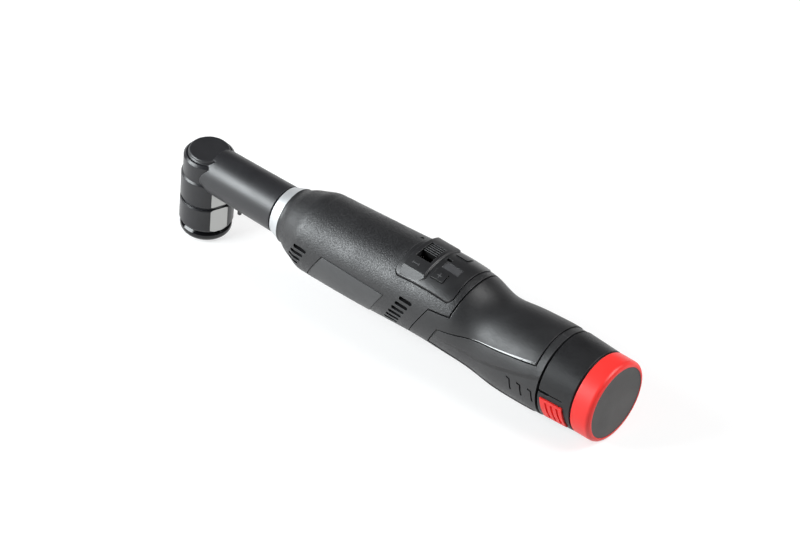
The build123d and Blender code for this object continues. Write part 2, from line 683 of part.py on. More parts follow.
# Switch block: curved plate with a raised bridge
board_top_h = 18.8
plate_skin = block_zone & (skin(-BLOCK_PROUD) - skin(BLOCK_DEEP))
hump_plan = make_face(Polyline(
    (HUMP_X0, -HUMP_FOOT_Y), (HUMP_X1 - HUMP_CORNER_X, -HUMP_FOOT_Y),
    (HUMP_X1, -HUMP_FOOT_Y + HUMP_CORNER_Y), (HUMP_X1, HUMP_FOOT_Y - HUMP_CORNER_Y),
    (HUMP_X1 - HUMP_CORNER_X, HUMP_FOOT_Y), (HUMP_X0, HUMP_FOOT_Y), close=True))
hump_column = extrude(Pos(0, 0, AXIS_Z + 12) * hump_plan, amount=30)
crown_h = HUMP_TOP_H - HUMP_CROWN_R
edge_h = crown_h + math.sqrt(HUMP_CROWN_R ** 2 - HUMP_EDGE_Y ** 2)
wall_slope = (HUMP_FOOT_Y - HUMP_EDGE_Y) / (edge_h - HUMP_FOOT_H)
low_y = HUMP_FOOT_Y + wall_slope * (HUMP_FOOT_H - 12)
high_y = HUMP_FOOT_Y - wall_slope * (42 - HUMP_FOOT_H)
hump_ends = make_face(Polyline(
    (HUMP_X0, -low_y, AXIS_Z + 12), (HUMP_X0, -high_y, AXIS_Z + 42), (HUMP_X0, high_y, AXIS_Z + 42),
    (HUMP_X0, low_y, AXIS_Z + 12), close=True))
hump_body = hump_column & extrude(hump_ends, amount=HUMP_X1 - HUMP_X0, dir=(1, 0, 0))
hump_body = hump_body & rod_x(HUMP_CROWN_R, HUMP_X0 - 1, HUMP_X1 + 1, 0, crown_h)
rear_arch = hump_body.edges().filter_by_position(Axis.X, HUMP_X1 - TINY, HUMP_X1 + TINY).sort_by(Axis.Z)[-1]
hump_body = chamfer(rear_arch, HUMP_BEVEL)
hump_body -= skin(BLOCK_DEEP)
switch_block = plate_skin + hump_body
window = block(WINDOW_X0, WINDOW_X1, WINDOW_Y0, WINDOW_Y1, 12, 45)
switch_block -= window
key_left = block(KEY_X0, KEY_X1, -KEY_Y1, -KEY_Y0, 12, 45)
key_hole = block(KEY_X0 - KEY_GAP, KEY_X1 + KEY_GAP, -KEY_Y1 - KEY_GAP, -KEY_Y0 + KEY_GAP, 12, 45)
switch_block -= key_hole + mirrored(key_hole)
glass_zone = block(GLASS_X0, GLASS_X1, GLASS_Y0, GLASS_Y1, 12, 45)
switch_block -= glass_zone
switch_block -= block(NOTCH_X0, NOTCH_X1, NOTCH_Y0, NOTCH_Y1, 12, 45) - skin(NOTCH_DEEP)
under_plate = skin(BLOCK_DEEP - 0.4)
clip = block(150.6, 161.8, -12.0, -10.5, 18.0, 40) + block(150.6, 161.8, 7.5, 9.0, 18.0, 40)
posts = rod_z(1.5, board_top_h, 40, 177.2, -12) + rod_z(1.5, board_top_h, 40, 177.2, 12)
posts += rod_z(1.0, board_top_h, 40, 165.4, 0)
switch_block += (clip + posts) & under_plate
save(one(switch_block), "switch_block")

display_window = glass_zone & (skin(-BLOCK_PROUD + 0.2) - skin(BLOCK_DEEP))
save(one(display_window), "display_window")

key_proud = BLOCK_PROUD + 0.5
key_foot_h = 21.4
plus_button = (key_left & skin(-key_proud)) & block(150, 190, -20, 20, key_foot_h, 45)
save(one(plus_button), "plus_button")
save(one(mirrored(plus_button)), "minus_button")

# Slider in its window, now pushed away from the mark
slider_x0 = WINDOW_X0 + SLIP
slider_x1 = WINDOW_X1 - SLIP
slider_y1 = WINDOW_Y1 - SLIP
slider_y0 = slider_y1 - SLIDER_W
slider_foot_h = 26.4
knob = block(slider_x0, slider_x1, slider_y0, slider_y1, slider_foot_h, 45)
knob = knob & rod_x(HUMP_CROWN_R - 0.4, HUMP_X0, HUMP_X1, 0, crown_h)
knob_core = rod_x(HUMP_CROWN_R - 1.2, HUMP_X0, HUMP_X1, 0, crown_h)
rib_count = 5
rib_pitch = SLIDER_W / rib_count
for i in range(rib_count):
    y = slider_y0 + rib_pitch * (i + 0.5)
    knob -= block(slider_x0 - 1, slider_x1 + 1, y - RIB_GROOVE / 2, y + RIB_GROOVE / 2, 12, 45) - knob_core
stem = block(154.8, 157.8, slider_y1 - 5.0, slider_y1 - 2.0, 23.6, slider_foot_h + 0.5)
save(one(knob + stem), "power_slider")

# Parts below the switch block
switch_h1 = 23.4
slide_switch = block(150.5, 162.0, -10.5, 7.5, 17.2, switch_h1)
slide_switch -= block(154.3, 158.3, WINDOW_Y0 + 1.0, WINDOW_Y1 - 1.6, 22.0, 30)
slide_switch += block(152.0, 153.2, -4, -2, 13.5, 17.5) + block(159.5, 160.7, -4, -2, 13.5, 17.5)
save(one(slide_switch), "slide_switch")

button_board = block(164.4, 179.0, -14.0, 14.0, board_top_h - 1.4, board_top_h)
tact = block(167.4, 171.4, 8.0, 12.0, 18.8, 20.2) + rod_z(1.2, 20.2, 20.5, 169.4, 10.0)
button_board += tact + mirrored(tact)
button_board += block(170.0, 174.0, -1.8, 1.8, 18.8, 20.4)
save(one(button_board), "button_board")

control_board = block(148.5, 181.0, -14.5, 14.5, 4.0, 5.6)
control_board += block(151.0, 162.0, -12.0, -7.0, 5.6, 9.6)
control_board += rod_z(4.0, 5.6, 13.0, 172.0, -7.0)
control_board += block(164.0, 176.0, 3.0, 12.0, 5.6, 8.0)
control_board += rod_z(2.6, 5.6, 11.0, 155.0, 6.0)
save(one(control_board), "control_board")

# Motor
can_front_t = 1.6
motor_can = rod_x(MOTOR_R, MOTOR_X0, MOTOR_X1)
motor_can -= rod_x(MOTOR_R - CAN_T, MOTOR_X0 + can_front_t, MOTOR_X1 + 1)
motor_can += rod_x(5.0, MOTOR_X0 - 1.8, MOTOR_X0 + 4.0)
motor_can -= rod_x(MOTOR_SHAFT_R, MOTOR_X0 - 5, MOTOR_X0 + 8)
for y in (-FACE_SCREW_Y, FACE_SCREW_Y):
    motor_can -= rod_x(FACE_SCREW_R, MOTOR_X0 - 1, MOTOR_X0 + can_front_t + 1, y)
save(one(motor_can), "motor_can")

motor_screws = Part()
for y in (-FACE_SCREW_Y, FACE_SCREW_Y):
    screw = rod_x(FACE_SCREW_R, flange_x0, MOTOR_X0 + can_front_t + 0.6, y)
    screw += rod_x(2.4, flange_x0 - 1.3, flange_x0, y) - rod_x(1.0, flange_x0 - 2, flange_x0 - 0.6, y)
    motor_screws += screw
save(one(motor_screws), "motor_screws")

magnet_x0 = MOTOR_X0 + 8.0
magnet_x1 = MOTOR_X1 - 12.0
magnet_tube = rod_x(MOTOR_R - CAN_T, magnet_x0, magnet_x1) - rod_x(MOTOR_R - CAN_T - MAGNET_T, 60, 160)
magnet_gap = block(60, 160, -8.0, 8.0, -30, 30)
save(one(magnet_tube - magnet_gap), "motor_magnets")

bell_x1 = MOTOR_X1 + BELL_L
motor_endbell = rod_x(MOTOR_R, MOTOR_X1, MOTOR_X1 + 2.6) + rod_x(6.0, MOTOR_X1 + 2, bell_x1)
motor_endbell += rod_x(MOTOR_R - CAN_T - TINY, MOTOR_X1 - 2.5, MOTOR_X1 + 1)
motor_endbell -= rod_x(13.6, MOTOR_X1 - 4, MOTOR_X1)
motor_endbell -= rod_x(MOTOR_SHAFT_R, MOTOR_X1 - 4, bell_x1 - 1.2)
for y in (-11.0, 11.0):
    motor_endbell += block(MOTOR_X1 + 2, bell_x1 + 1.0, y - 0.4, y + 0.4, -2.2, 2.2)
    motor_endbell -= block(MOTOR_X1 - 1, MOTOR_X1 + 1.4, y - 2.5, y + 2.5, 5.0, 9.0)
save(one(motor_endbell), "motor_endbell")

shaft_front_x = shaft_end_x + 0.6
shaft_r = MOTOR_SHAFT_R - RUN
core_x0 = magnet_x0 + 1.0
core_x1 = magnet_x1 - 1.0
armature = rod_x(shaft_r, shaft_front_x, bell_x1 - 1.6)
core = rod_x(ROTOR_R, core_x0, core_x1)
POLE_ANGLES = [0, 72, 144, 216, 288]
for angle in POLE_ANGLES:
    slot = block(core_x0 - 1, core_x1 + 1, -0.8, 0.8, 5.0, 20)
    slot += block(core_x0 - 1, core_x1 + 1, -2.6, 2.6, 5.5, 9.8)
    core -= around(angle) * slot


def winding_head(x, way):
    """Rounded end of the winding at x, standing out along way."""
    end_x = x + way * 4.5
    foot_x = x - way * 0.2
    return turned_x((end_x, 4), (end_x, 7.5), (x + way * 3, 9.4), (foot_x, 9.9), (foot_x, 4))


commutator = rod_x(4.6, core_x1 + 4, MOTOR_X1 - 0.8)
armature += core + winding_head(core_x0, -1) + winding_head(core_x1, 1)
armature += commutator + rod_x(5.0, core_x0 - 5, core_x1 + 5)
save(one(armature), "armature")

drive_coupling = rod_x(COUPLER_R, COUPLER_X0, COUPLER_X1)
drive_coupling -= rod_x(SHAFT_R - RUN, COUPLER_X0 - 1, shaft_end_x + 0.2)
drive_coupling -= rod_x(shaft_r, COUPLER_X0, COUPLER_X1 + 1)
for angle in (0, 120, 240):
    notch = block(COUPLER_X0 + 5.4, COUPLER_X0 + 6.4, -1.4, 1.4, 4.6, 10)
    drive_coupling -= around(angle) * notch
save(one(drive_coupling), "drive_coupling")

fan_blades = 11
cooling_fan = rod_x(5.4, FAN_X0 + 1, FAN_X1) + rod_x(FAN_R, FAN_X1 - 1.2, FAN_X1)
for i in range(fan_blades):
    blade = block(FAN_X0, FAN_X1 - 1, -0.5, 0.5, 4.5, FAN_R - 0.6)
    cooling_fan += around(360 * i / fan_blades) * blade
cooling_fan -= rod_x(shaft_r, FAN_X0 - 2, FAN_X1 + 2)
save(one(cooling_fan), "cooling_fan")

# Handle shells
shell_t = 2.7
handle_zone = joint_zone(SEAM, -SEAM, SLANT_SEAM)
handle_body = skin(PANEL_DROP) & handle_zone
bulkhead_x = BAY_X - BULKHEAD_T
handle_body -= skin(shell_t) & slab(120, bulkhead_x)
handle_body -= rod_x(BAY_R, BAY_X, 260, 0, STEM_RISE)
lip_zone = joint_zone(-LIP_REACH, LIP_REACH, -LIP_REACH) - joint_zone(SEAM + 5, -SEAM - 5, SLANT_SEAM + 5)
lip_wall = skin(WALL + 0.1) - skin(WALL + 0.1 + LIP_T)
handle_body += lip_wall & lip_zone & slab(100, 205)


def panel_zone(grow=0.0):
    """Side view of the hard panel that the rubber leaves free, grown by the groove's width."""
    low_front_x = SIDE_FRONT_X - SIDE_LEAN * (SIDE_FRONT_H - LOW_FRONT_H)
    corners = [
        (SIDE_FRONT_X - grow, SIDE_FRONT_H + grow), (SIDE_MID_X, SIDE_MID_H + grow),
        (SIDE_REAR_X, SIDE_END_H + grow)]
    for corner in (LOW_REAR, LOW_SWELL, LOW_WAIST, LOW_PALM):
        corners.append((corner.x, corner.h - grow))
    corners.append((low_front_x - grow, LOW_FRONT_H - grow))
    return prism_y(corners, -REACH, REACH)


rubber_front = slab(120, GRIP_END_X)
rubber_seat = (skin(-3) - skin(GRIP_T)) & rubber_front & joint_zone(-10, 10)
rubber_seat -= panel_zone()
handle_body -= rubber_seat & joint_zone(SEAM - 0.2, -SEAM + 0.2, SLANT_SEAM - 0.2)

grip_cover = (skin() - skin(GRIP_T - 0.02)) & handle_zone
grip_cover = grip_cover & slab(120, GRIP_END_X - GRIP_GAP)
grip_cover -= panel_zone(GRIP_GAP)
save(one(grip_cover), "grip_cover")

# Chevron ticks on the hard panel
tick_shell = skin(-3) - skin(PANEL_DROP + TICK_DEEP)
for i in range(3):
    x = TICK_X + TICK_PITCH * i
    low = TICK_H - TICK_DROP
    tick = prism_y([
        (x - 2.2, TICK_H + 0.9), (x + 0.7, TICK_H + 0.3), (x + 1.8, low), (x + 1.8 - TICK_W, low),
        (x - 0.3, TICK_H - 0.5), (x - 2.2, TICK_H + 0.9 - TICK_W)], -REACH, -10)
    cut = tick & tick_shell
    handle_body -= cut
    handle_body -= mirrored(cut)

# Screw bosses between the shells
Boss = namedtuple("Boss", "x h")
LOW_FRONT_BOSS = Boss(174.0, -13.0)
HIGH_BOSS = Boss(193.0, 13.0)
LOW_REAR_BOSS = Boss(203.0, -13.0)
BOSSES = [LOW_FRONT_BOSS, HIGH_BOSS, LOW_REAR_BOSS]
head_y = 11.0
screw_shank_r = 1.3
boss_skin = skin(shell_t - 0.4)
handle_screws = Part()
for boss in BOSSES:
    handle_body += rod_y(3.4, -30, 30, boss.x, boss.h) & boss_skin
for boss in BOSSES:
    handle_body -= rod_y(screw_shank_r, -9, head_y + 1, boss.x, boss.h)
    handle_body -= rod_y(2.6, head_y, 40, boss.x, boss.h)
    screw = rod_y(screw_shank_r, -8.6, head_y, boss.x, boss.h)
    screw += rod_y(2.3, head_y, head_y + 1.7, boss.x, boss.h)
    screw -= rod_y(0.9, head_y + 0.7, head_y + 3, boss.x, boss.h)
    handle_screws += screw
save(one(handle_screws), "handle_screws")

# Terminal block in front of the bulkhead
PIN_YS = [-6.0, 0.0, 6.0]
pad_x = STEM_X - 0.5
terminal_block = block(203.6, bulkhead_x, -10, 10, -5, 5)
for y in PIN_YS:
    handle_body -= rod_x(1.6, bulkhead_x - 1, BAY_X + 1, y)
    terminal_block += rod_x(1.2, bulkhead_x - 1, pad_x, y)
    terminal_block += block(202.0, 204.0, y - 1.2, y + 1.2, -0.4, 0.4)
save(one(terminal_block), "terminal_block")

handle_left = handle_body & block(100, SIDE_REAR_X, -REACH, 0, -REACH, REACH)
handle_right = handle_body & block(100, SIDE_REAR_X, 0, REACH, -REACH, REACH)
save(one(handle_left), "handle_left")
save(one(handle_right), "handle_right")


# Leads
def lead(radius, *points):
    """Soft wire through the given (x, y, height) points."""
    path = Spline(*[(x, y, AXIS_Z + h) for x, y, h in points])
    start = Plane(origin=path @ 0, z_dir=path % 0)
    return sweep(start * Circle(radius), path=path)


lead_r = 0.9
motor_leads = Part()
battery_leads = Part()
for side in (-1, 1):
    motor_leads += lead(
        lead_r, (bell_x1 + 1.0, side * 11, 0), (bell_x1 + 2.4, side * 11, 0.6), (147.6, side * 10.6, 4.6),
        (150.2, side * 4.6, 7.4), (152.6, side * 3.2, 5.6))
    battery_leads += lead(
        lead_r, (202.0, side * 6, 0), (199.0, side * 6, 0.4), (190.0, side * 8.0, 5.0),
        (182.0, side * 9.5, 8.0), (178.6, side * 9.8, 5.6))
motor_leads -= control_board
motor_leads -= motor_endbell
battery_leads -= control_board
battery_leads -= terminal_block
save(one(motor_leads), "motor_leads")
save(one(battery_leads), "battery_leads")

# Battery pack
case_inner_r = STEM_R - STEM_WALL
case_end_x = RED_X - RED_GAP
case_skin_slope = (PACK_REAR_R - PACK_FRONT_R) / (RED_X - PACK_X)


def pack_ring(grow):
    """Tapered outer body of the pack, grown outward."""
    return turned_x(
        (PACK_X, 0), (PACK_X, PACK_FRONT_R + grow), (RED_X, PACK_REAR_R + grow), (RED_X, 0), rise=PACK_RISE)


outer_body = turned_x(
    (PACK_X, 0), (PACK_X, PACK_FRONT_R - 0.5), (PACK_X + 0.5, PACK_FRONT_R),
    (case_end_x - 0.3, PACK_FRONT_R + case_skin_slope * (case_end_x - 0.3 - PACK_X)),
    (case_end_x, PACK_REAR_R - 0.3), (case_end_x, PACK_REAR_R - 1.2), (RED_X, PACK_REAR_R - 1.2),
    (RED_X, 0), rise=PACK_RISE)
stem = turned_x(
    (STEM_X, 0), (STEM_X, STEM_R - 1.0), (STEM_X + 1.0, STEM_R), (PACK_X + 1, STEM_R), (PACK_X + 1, 0),
    rise=STEM_RISE)
battery_case = outer_body + stem - rod_x(case_inner_r, STEM_X + STEM_WALL, RED_X + 1, 0, STEM_RISE)
release_lean = 0.18
pocket_floor_r = STEM_R
for y in PIN_YS:
    battery_case -= rod_x(1.0, STEM_X - 1, STEM_X + STEM_WALL + 1, y)


def release_zone(grow=0.0):
    """Side view of one release button, slanted like the grip lines."""
    top = RELEASE_TOP_H + grow
    low = RELEASE_BOTTOM_H - grow
    x0 = RELEASE_X0 - grow
    x1 = RELEASE_X1 + grow
    shift = release_lean * (top - low)
    return prism_y([(x0, top), (x1, top), (x1 + shift, low), (x0 + shift, low)], -40, -10)


pocket = release_zone(SLIP) - rod_x(pocket_floor_r, 240, 280, 0, STEM_RISE)
battery_case -= pocket
battery_case -= mirrored(pocket)
tongue = block(PACK_X - 1, 256.5, -40, -10, 4.8, 6.4) + block(256, 264.8, -40, -10, 5.3, 5.9)
tongue_cut = tongue - rod_x(PACK_REAR_R - 0.7, 240, 280, 0, PACK_RISE)
battery_case -= tongue_cut
battery_case -= mirrored(tongue_cut)
save(one(battery_case), "battery_case")

release_button = release_zone() & pack_ring(RELEASE_PROUD)
release_button -= rod_x(pocket_floor_r + RELEASE_STROKE + 0.3, 240, 280, 0, STEM_RISE)
groove_core = pack_ring(0.0)
for i in range(3):
    x = RELEASE_X0 + 3.4 + 3.6 * i
    shift = release_lean * (RELEASE_TOP_H - RELEASE_BOTTOM_H)
    groove = prism_y([(x, 0.4), (x + RIB_GAP, 0.4), (x + RIB_GAP + shift, -10), (x + shift, -10)], -40, -10)
    release_button -= groove - groove_core
save(one(release_button), "release_button_left")
save(one(mirrored(release_button)), "release_button_right")

cap_inner_x = PACK_END_X - 3.0
plate_seat_r = END_PLATE_R + 0.1
battery_cap = turned_x(
    (RED_X, 0), (RED_X, RED_R - 0.3), (RED_X + 0.5, RED_R), (PACK_END_X, RED_R), (PACK_END_X, plate_seat_r),
    (PACK_END_X - PLATE_DEEP, plate_seat_r), (PACK_END_X - PLATE_DEEP, 0), rise=PACK_RISE)
battery_cap = soft_rim(battery_cap, RED_R, RED_ROUND, x=PACK_END_X)
battery_cap -= rod_x(case_inner_r, RED_X - 1, cap_inner_x, 0, STEM_RISE)
save(one(battery_cap), "battery_cap")
battery_plate = rod_x(END_PLATE_R, PACK_END_X - PLATE_DEEP, PACK_END_X - 0.2, 0, PACK_RISE)
save(one(battery_plate), "battery_plate")

cell_ring_r = 2 * CELL_R / math.sqrt(3) + 0.02
CELL_ANGLES = [90, 210, 330]
strap_t = 0.2
cell_x1 = cap_inner_x - strap_t
cell_x0 = cell_x1 - CELL_L
battery_cells = Part()
cell_straps = Part()
neck_r = CELL_R - 0.5
for y, above in ring_points(cell_ring_r, CELL_ANGLES):
    h = above + STEM_RISE
    cell = rod_x(CELL_R, cell_x0 + 0.6, cell_x1, y, h) + rod_x(neck_r, cell_x0, cell_x0 + 1, y, h)
    cell -= rod_x(CELL_R + 1, cell_x0 + 3.2, cell_x0 + 4.4, y, h) - rod_x(neck_r, cell_x0, cell_x0 + 6, y, h)
    battery_cells += cell
    cell_straps += rod_x(5.0, cell_x1, cap_inner_x, y, h)
    cell_straps += rod_x(5.0, cell_x0 - strap_t, cell_x0, y, h)
save(one(battery_cells), "battery_cells")
for x0, x1 in ((cell_x1, cap_inner_x), (cell_x0 - strap_t, cell_x0)):
    cell_straps += block(x0, x1, -10, 10, -7.5, -2.5)
    cell_straps += block(x0, x1, -2.5, 2.5, -5, 9)
save(one(cell_straps), "cell_straps")

pack_terminals = Part()
for y in PIN_YS:
    pack_terminals += block(pad_x, STEM_X, y - 2.0, y + 2.0, -3, 3)
    pack_terminals += rod_x(1.0, STEM_X, cell_x0 - strap_t, y)
save(one(pack_terminals), "pack_terminals")
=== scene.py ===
"""Cordless right-angle polisher: finishes, raised marks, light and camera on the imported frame."""

import logging
import math
from dataclasses import dataclass, field
from enum import Enum

import bmesh
import bpy
from mathutils import Matrix, Vector
from mathutils.bvhtree import BVHTree

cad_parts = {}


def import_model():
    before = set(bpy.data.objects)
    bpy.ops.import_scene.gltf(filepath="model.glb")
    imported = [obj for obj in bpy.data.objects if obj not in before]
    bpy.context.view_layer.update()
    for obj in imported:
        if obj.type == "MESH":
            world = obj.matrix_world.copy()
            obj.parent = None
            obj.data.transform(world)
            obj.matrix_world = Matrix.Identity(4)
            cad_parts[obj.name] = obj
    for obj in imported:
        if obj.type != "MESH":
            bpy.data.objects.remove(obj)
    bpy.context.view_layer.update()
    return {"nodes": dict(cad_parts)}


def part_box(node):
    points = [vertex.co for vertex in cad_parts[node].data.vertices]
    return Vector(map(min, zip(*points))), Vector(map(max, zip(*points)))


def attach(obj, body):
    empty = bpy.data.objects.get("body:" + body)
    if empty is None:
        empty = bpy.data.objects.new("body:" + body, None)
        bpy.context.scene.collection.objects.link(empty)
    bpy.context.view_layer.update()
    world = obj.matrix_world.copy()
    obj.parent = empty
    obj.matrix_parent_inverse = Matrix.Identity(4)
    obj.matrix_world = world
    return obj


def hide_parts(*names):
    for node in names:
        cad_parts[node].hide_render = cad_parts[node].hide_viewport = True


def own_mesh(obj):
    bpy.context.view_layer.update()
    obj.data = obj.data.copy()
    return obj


LOG = logging.getLogger("polisher")
MM = 0.001
WHITE = (1.0, 1.0, 1.0, 1.0)
Colour = tuple[float, float, float]
Point = tuple[float, float, float]
Socket = bpy.types.NodeSocket


class Grain(Enum):
    """Kinds of fine surface relief."""

    SPARK = "spark"
    SATIN = "satin"
    TURNED = "turned"


class Axis(Enum):
    """Directions that turned marks run round."""

    X = (1.0, 0.0, 0.0)
    Z = (0.0, 0.0, 1.0)


class Graph:
    """Small helper that adds and joins shader nodes in one tree."""

    def __init__(self, tree: bpy.types.NodeTree) -> None:
        """Start on an existing tree.

        Args:
            tree: Node tree of a material, world or group.
        """
        self.tree = tree

    def node(self, kind: str, **settings: object) -> bpy.types.Node:
        """Add a node.

        Args:
            kind: Blender's type name of the node.
            settings: Properties to set on it.

        Returns:
            The new node.
        """
        made = self.tree.nodes.new(kind)
        for name, value in settings.items():
            setattr(made, name, value)
        return made

    def feed(self, value: object, target: Socket) -> None:
        """Set a socket to a number or colour, or join it to another socket.

        Args:
            value: Number, colour or socket.
            target: Socket that gets it.
        """
        if isinstance(value, bpy.types.NodeSocket):
            self.tree.links.new(value, target)
        elif isinstance(value, tuple):
            target.default_value = (*value, 1.0)
        else:
            target.default_value = value

    def math(self, operation: str, first: object, second: object = 0.0, third: object = 0.0) -> Socket:
        """Add a math node.

        Args:
            operation: Name of the sum.
            first: Socket or number.
            second: Socket or number.
            third: Socket or number, for the few sums that take one.

        Returns:
            The result socket.
        """
        made = self.node("ShaderNodeMath", operation=operation)
        for socket, value in zip(made.inputs, (first, second, third)):
            self.feed(value, socket)
        return made.outputs[0]

    def remap(self, value: Socket, low: float, high: float, smooth: bool = False) -> Socket:
        """Stretch a range of a value to run from 0 to 1.

        Args:
            value: Socket to stretch.
            low: Value that becomes 0.
            high: Value that becomes 1.
            smooth: Whether to ease in and out.

        Returns:
            The result socket.
        """
        made = self.node("ShaderNodeMapRange", interpolation_type="SMOOTHSTEP" if smooth else "LINEAR")
        self.feed(value, made.inputs["Value"])
        made.inputs["From Min"].default_value = low
        made.inputs["From Max"].default_value = high
        return made.outputs["Result"]

    def noise(self, vector: Socket, scale: object, detail: float) -> Socket:
        """Add a noise texture.

        Args:
            vector: Coordinates.
            scale: Socket or number.
            detail: Octaves.

        Returns:
            The noise value socket.
        """
        made = self.node("ShaderNodeTexNoise")
        self.feed(vector, made.inputs["Vector"])
        self.feed(scale, made.inputs["Scale"])
        made.inputs["Detail"].default_value = detail
        return made.outputs[0]

    def mix(self, share: Socket, first: object, second: object) -> Socket:
        """Mix two colours.

        Args:
            share: Share of the second colour.
            first: Colour or socket.
            second: Colour or socket.

        Returns:
            The mixed colour socket.
        """
        made = self.node("ShaderNodeMix", data_type="RGBA")
        self.feed(share, made.inputs["Factor"])
        colours = [socket for socket in made.inputs if socket.type == "RGBA"]
        for socket, value in zip(colours, (first, second)):
            self.feed(value, socket)
        return next(socket for socket in made.outputs if socket.type == "RGBA")

    def blend(self, share: Socket, first: object, second: object) -> Socket:
        """Mix two numbers.

        Args:
            share: Share of the second number.
            first: Number or socket.
            second: Number or socket.

        Returns:
            The mixed number socket.
        """
        made = self.node("ShaderNodeMix", data_type="FLOAT")
        self.feed(share, made.inputs["Factor"])
        self.feed(first, made.inputs["A"])
        self.feed(second, made.inputs["B"])
        return made.outputs["Result"]

    def effect(self, tree: bpy.types.NodeTree, place: Socket, values: dict[str, float]) -> bpy.types.Node:
        """Put a shared group into the tree.

        Args:
            tree: The group.
            place: Coordinates.
            values: Input values by name.

        Returns:
            The group node.
        """
        made = self.node("ShaderNodeGroup", node_tree=tree)
        self.feed(place, made.inputs["Place"])
        for label, value in values.items():
            made.inputs[label].default_value = value
        return made


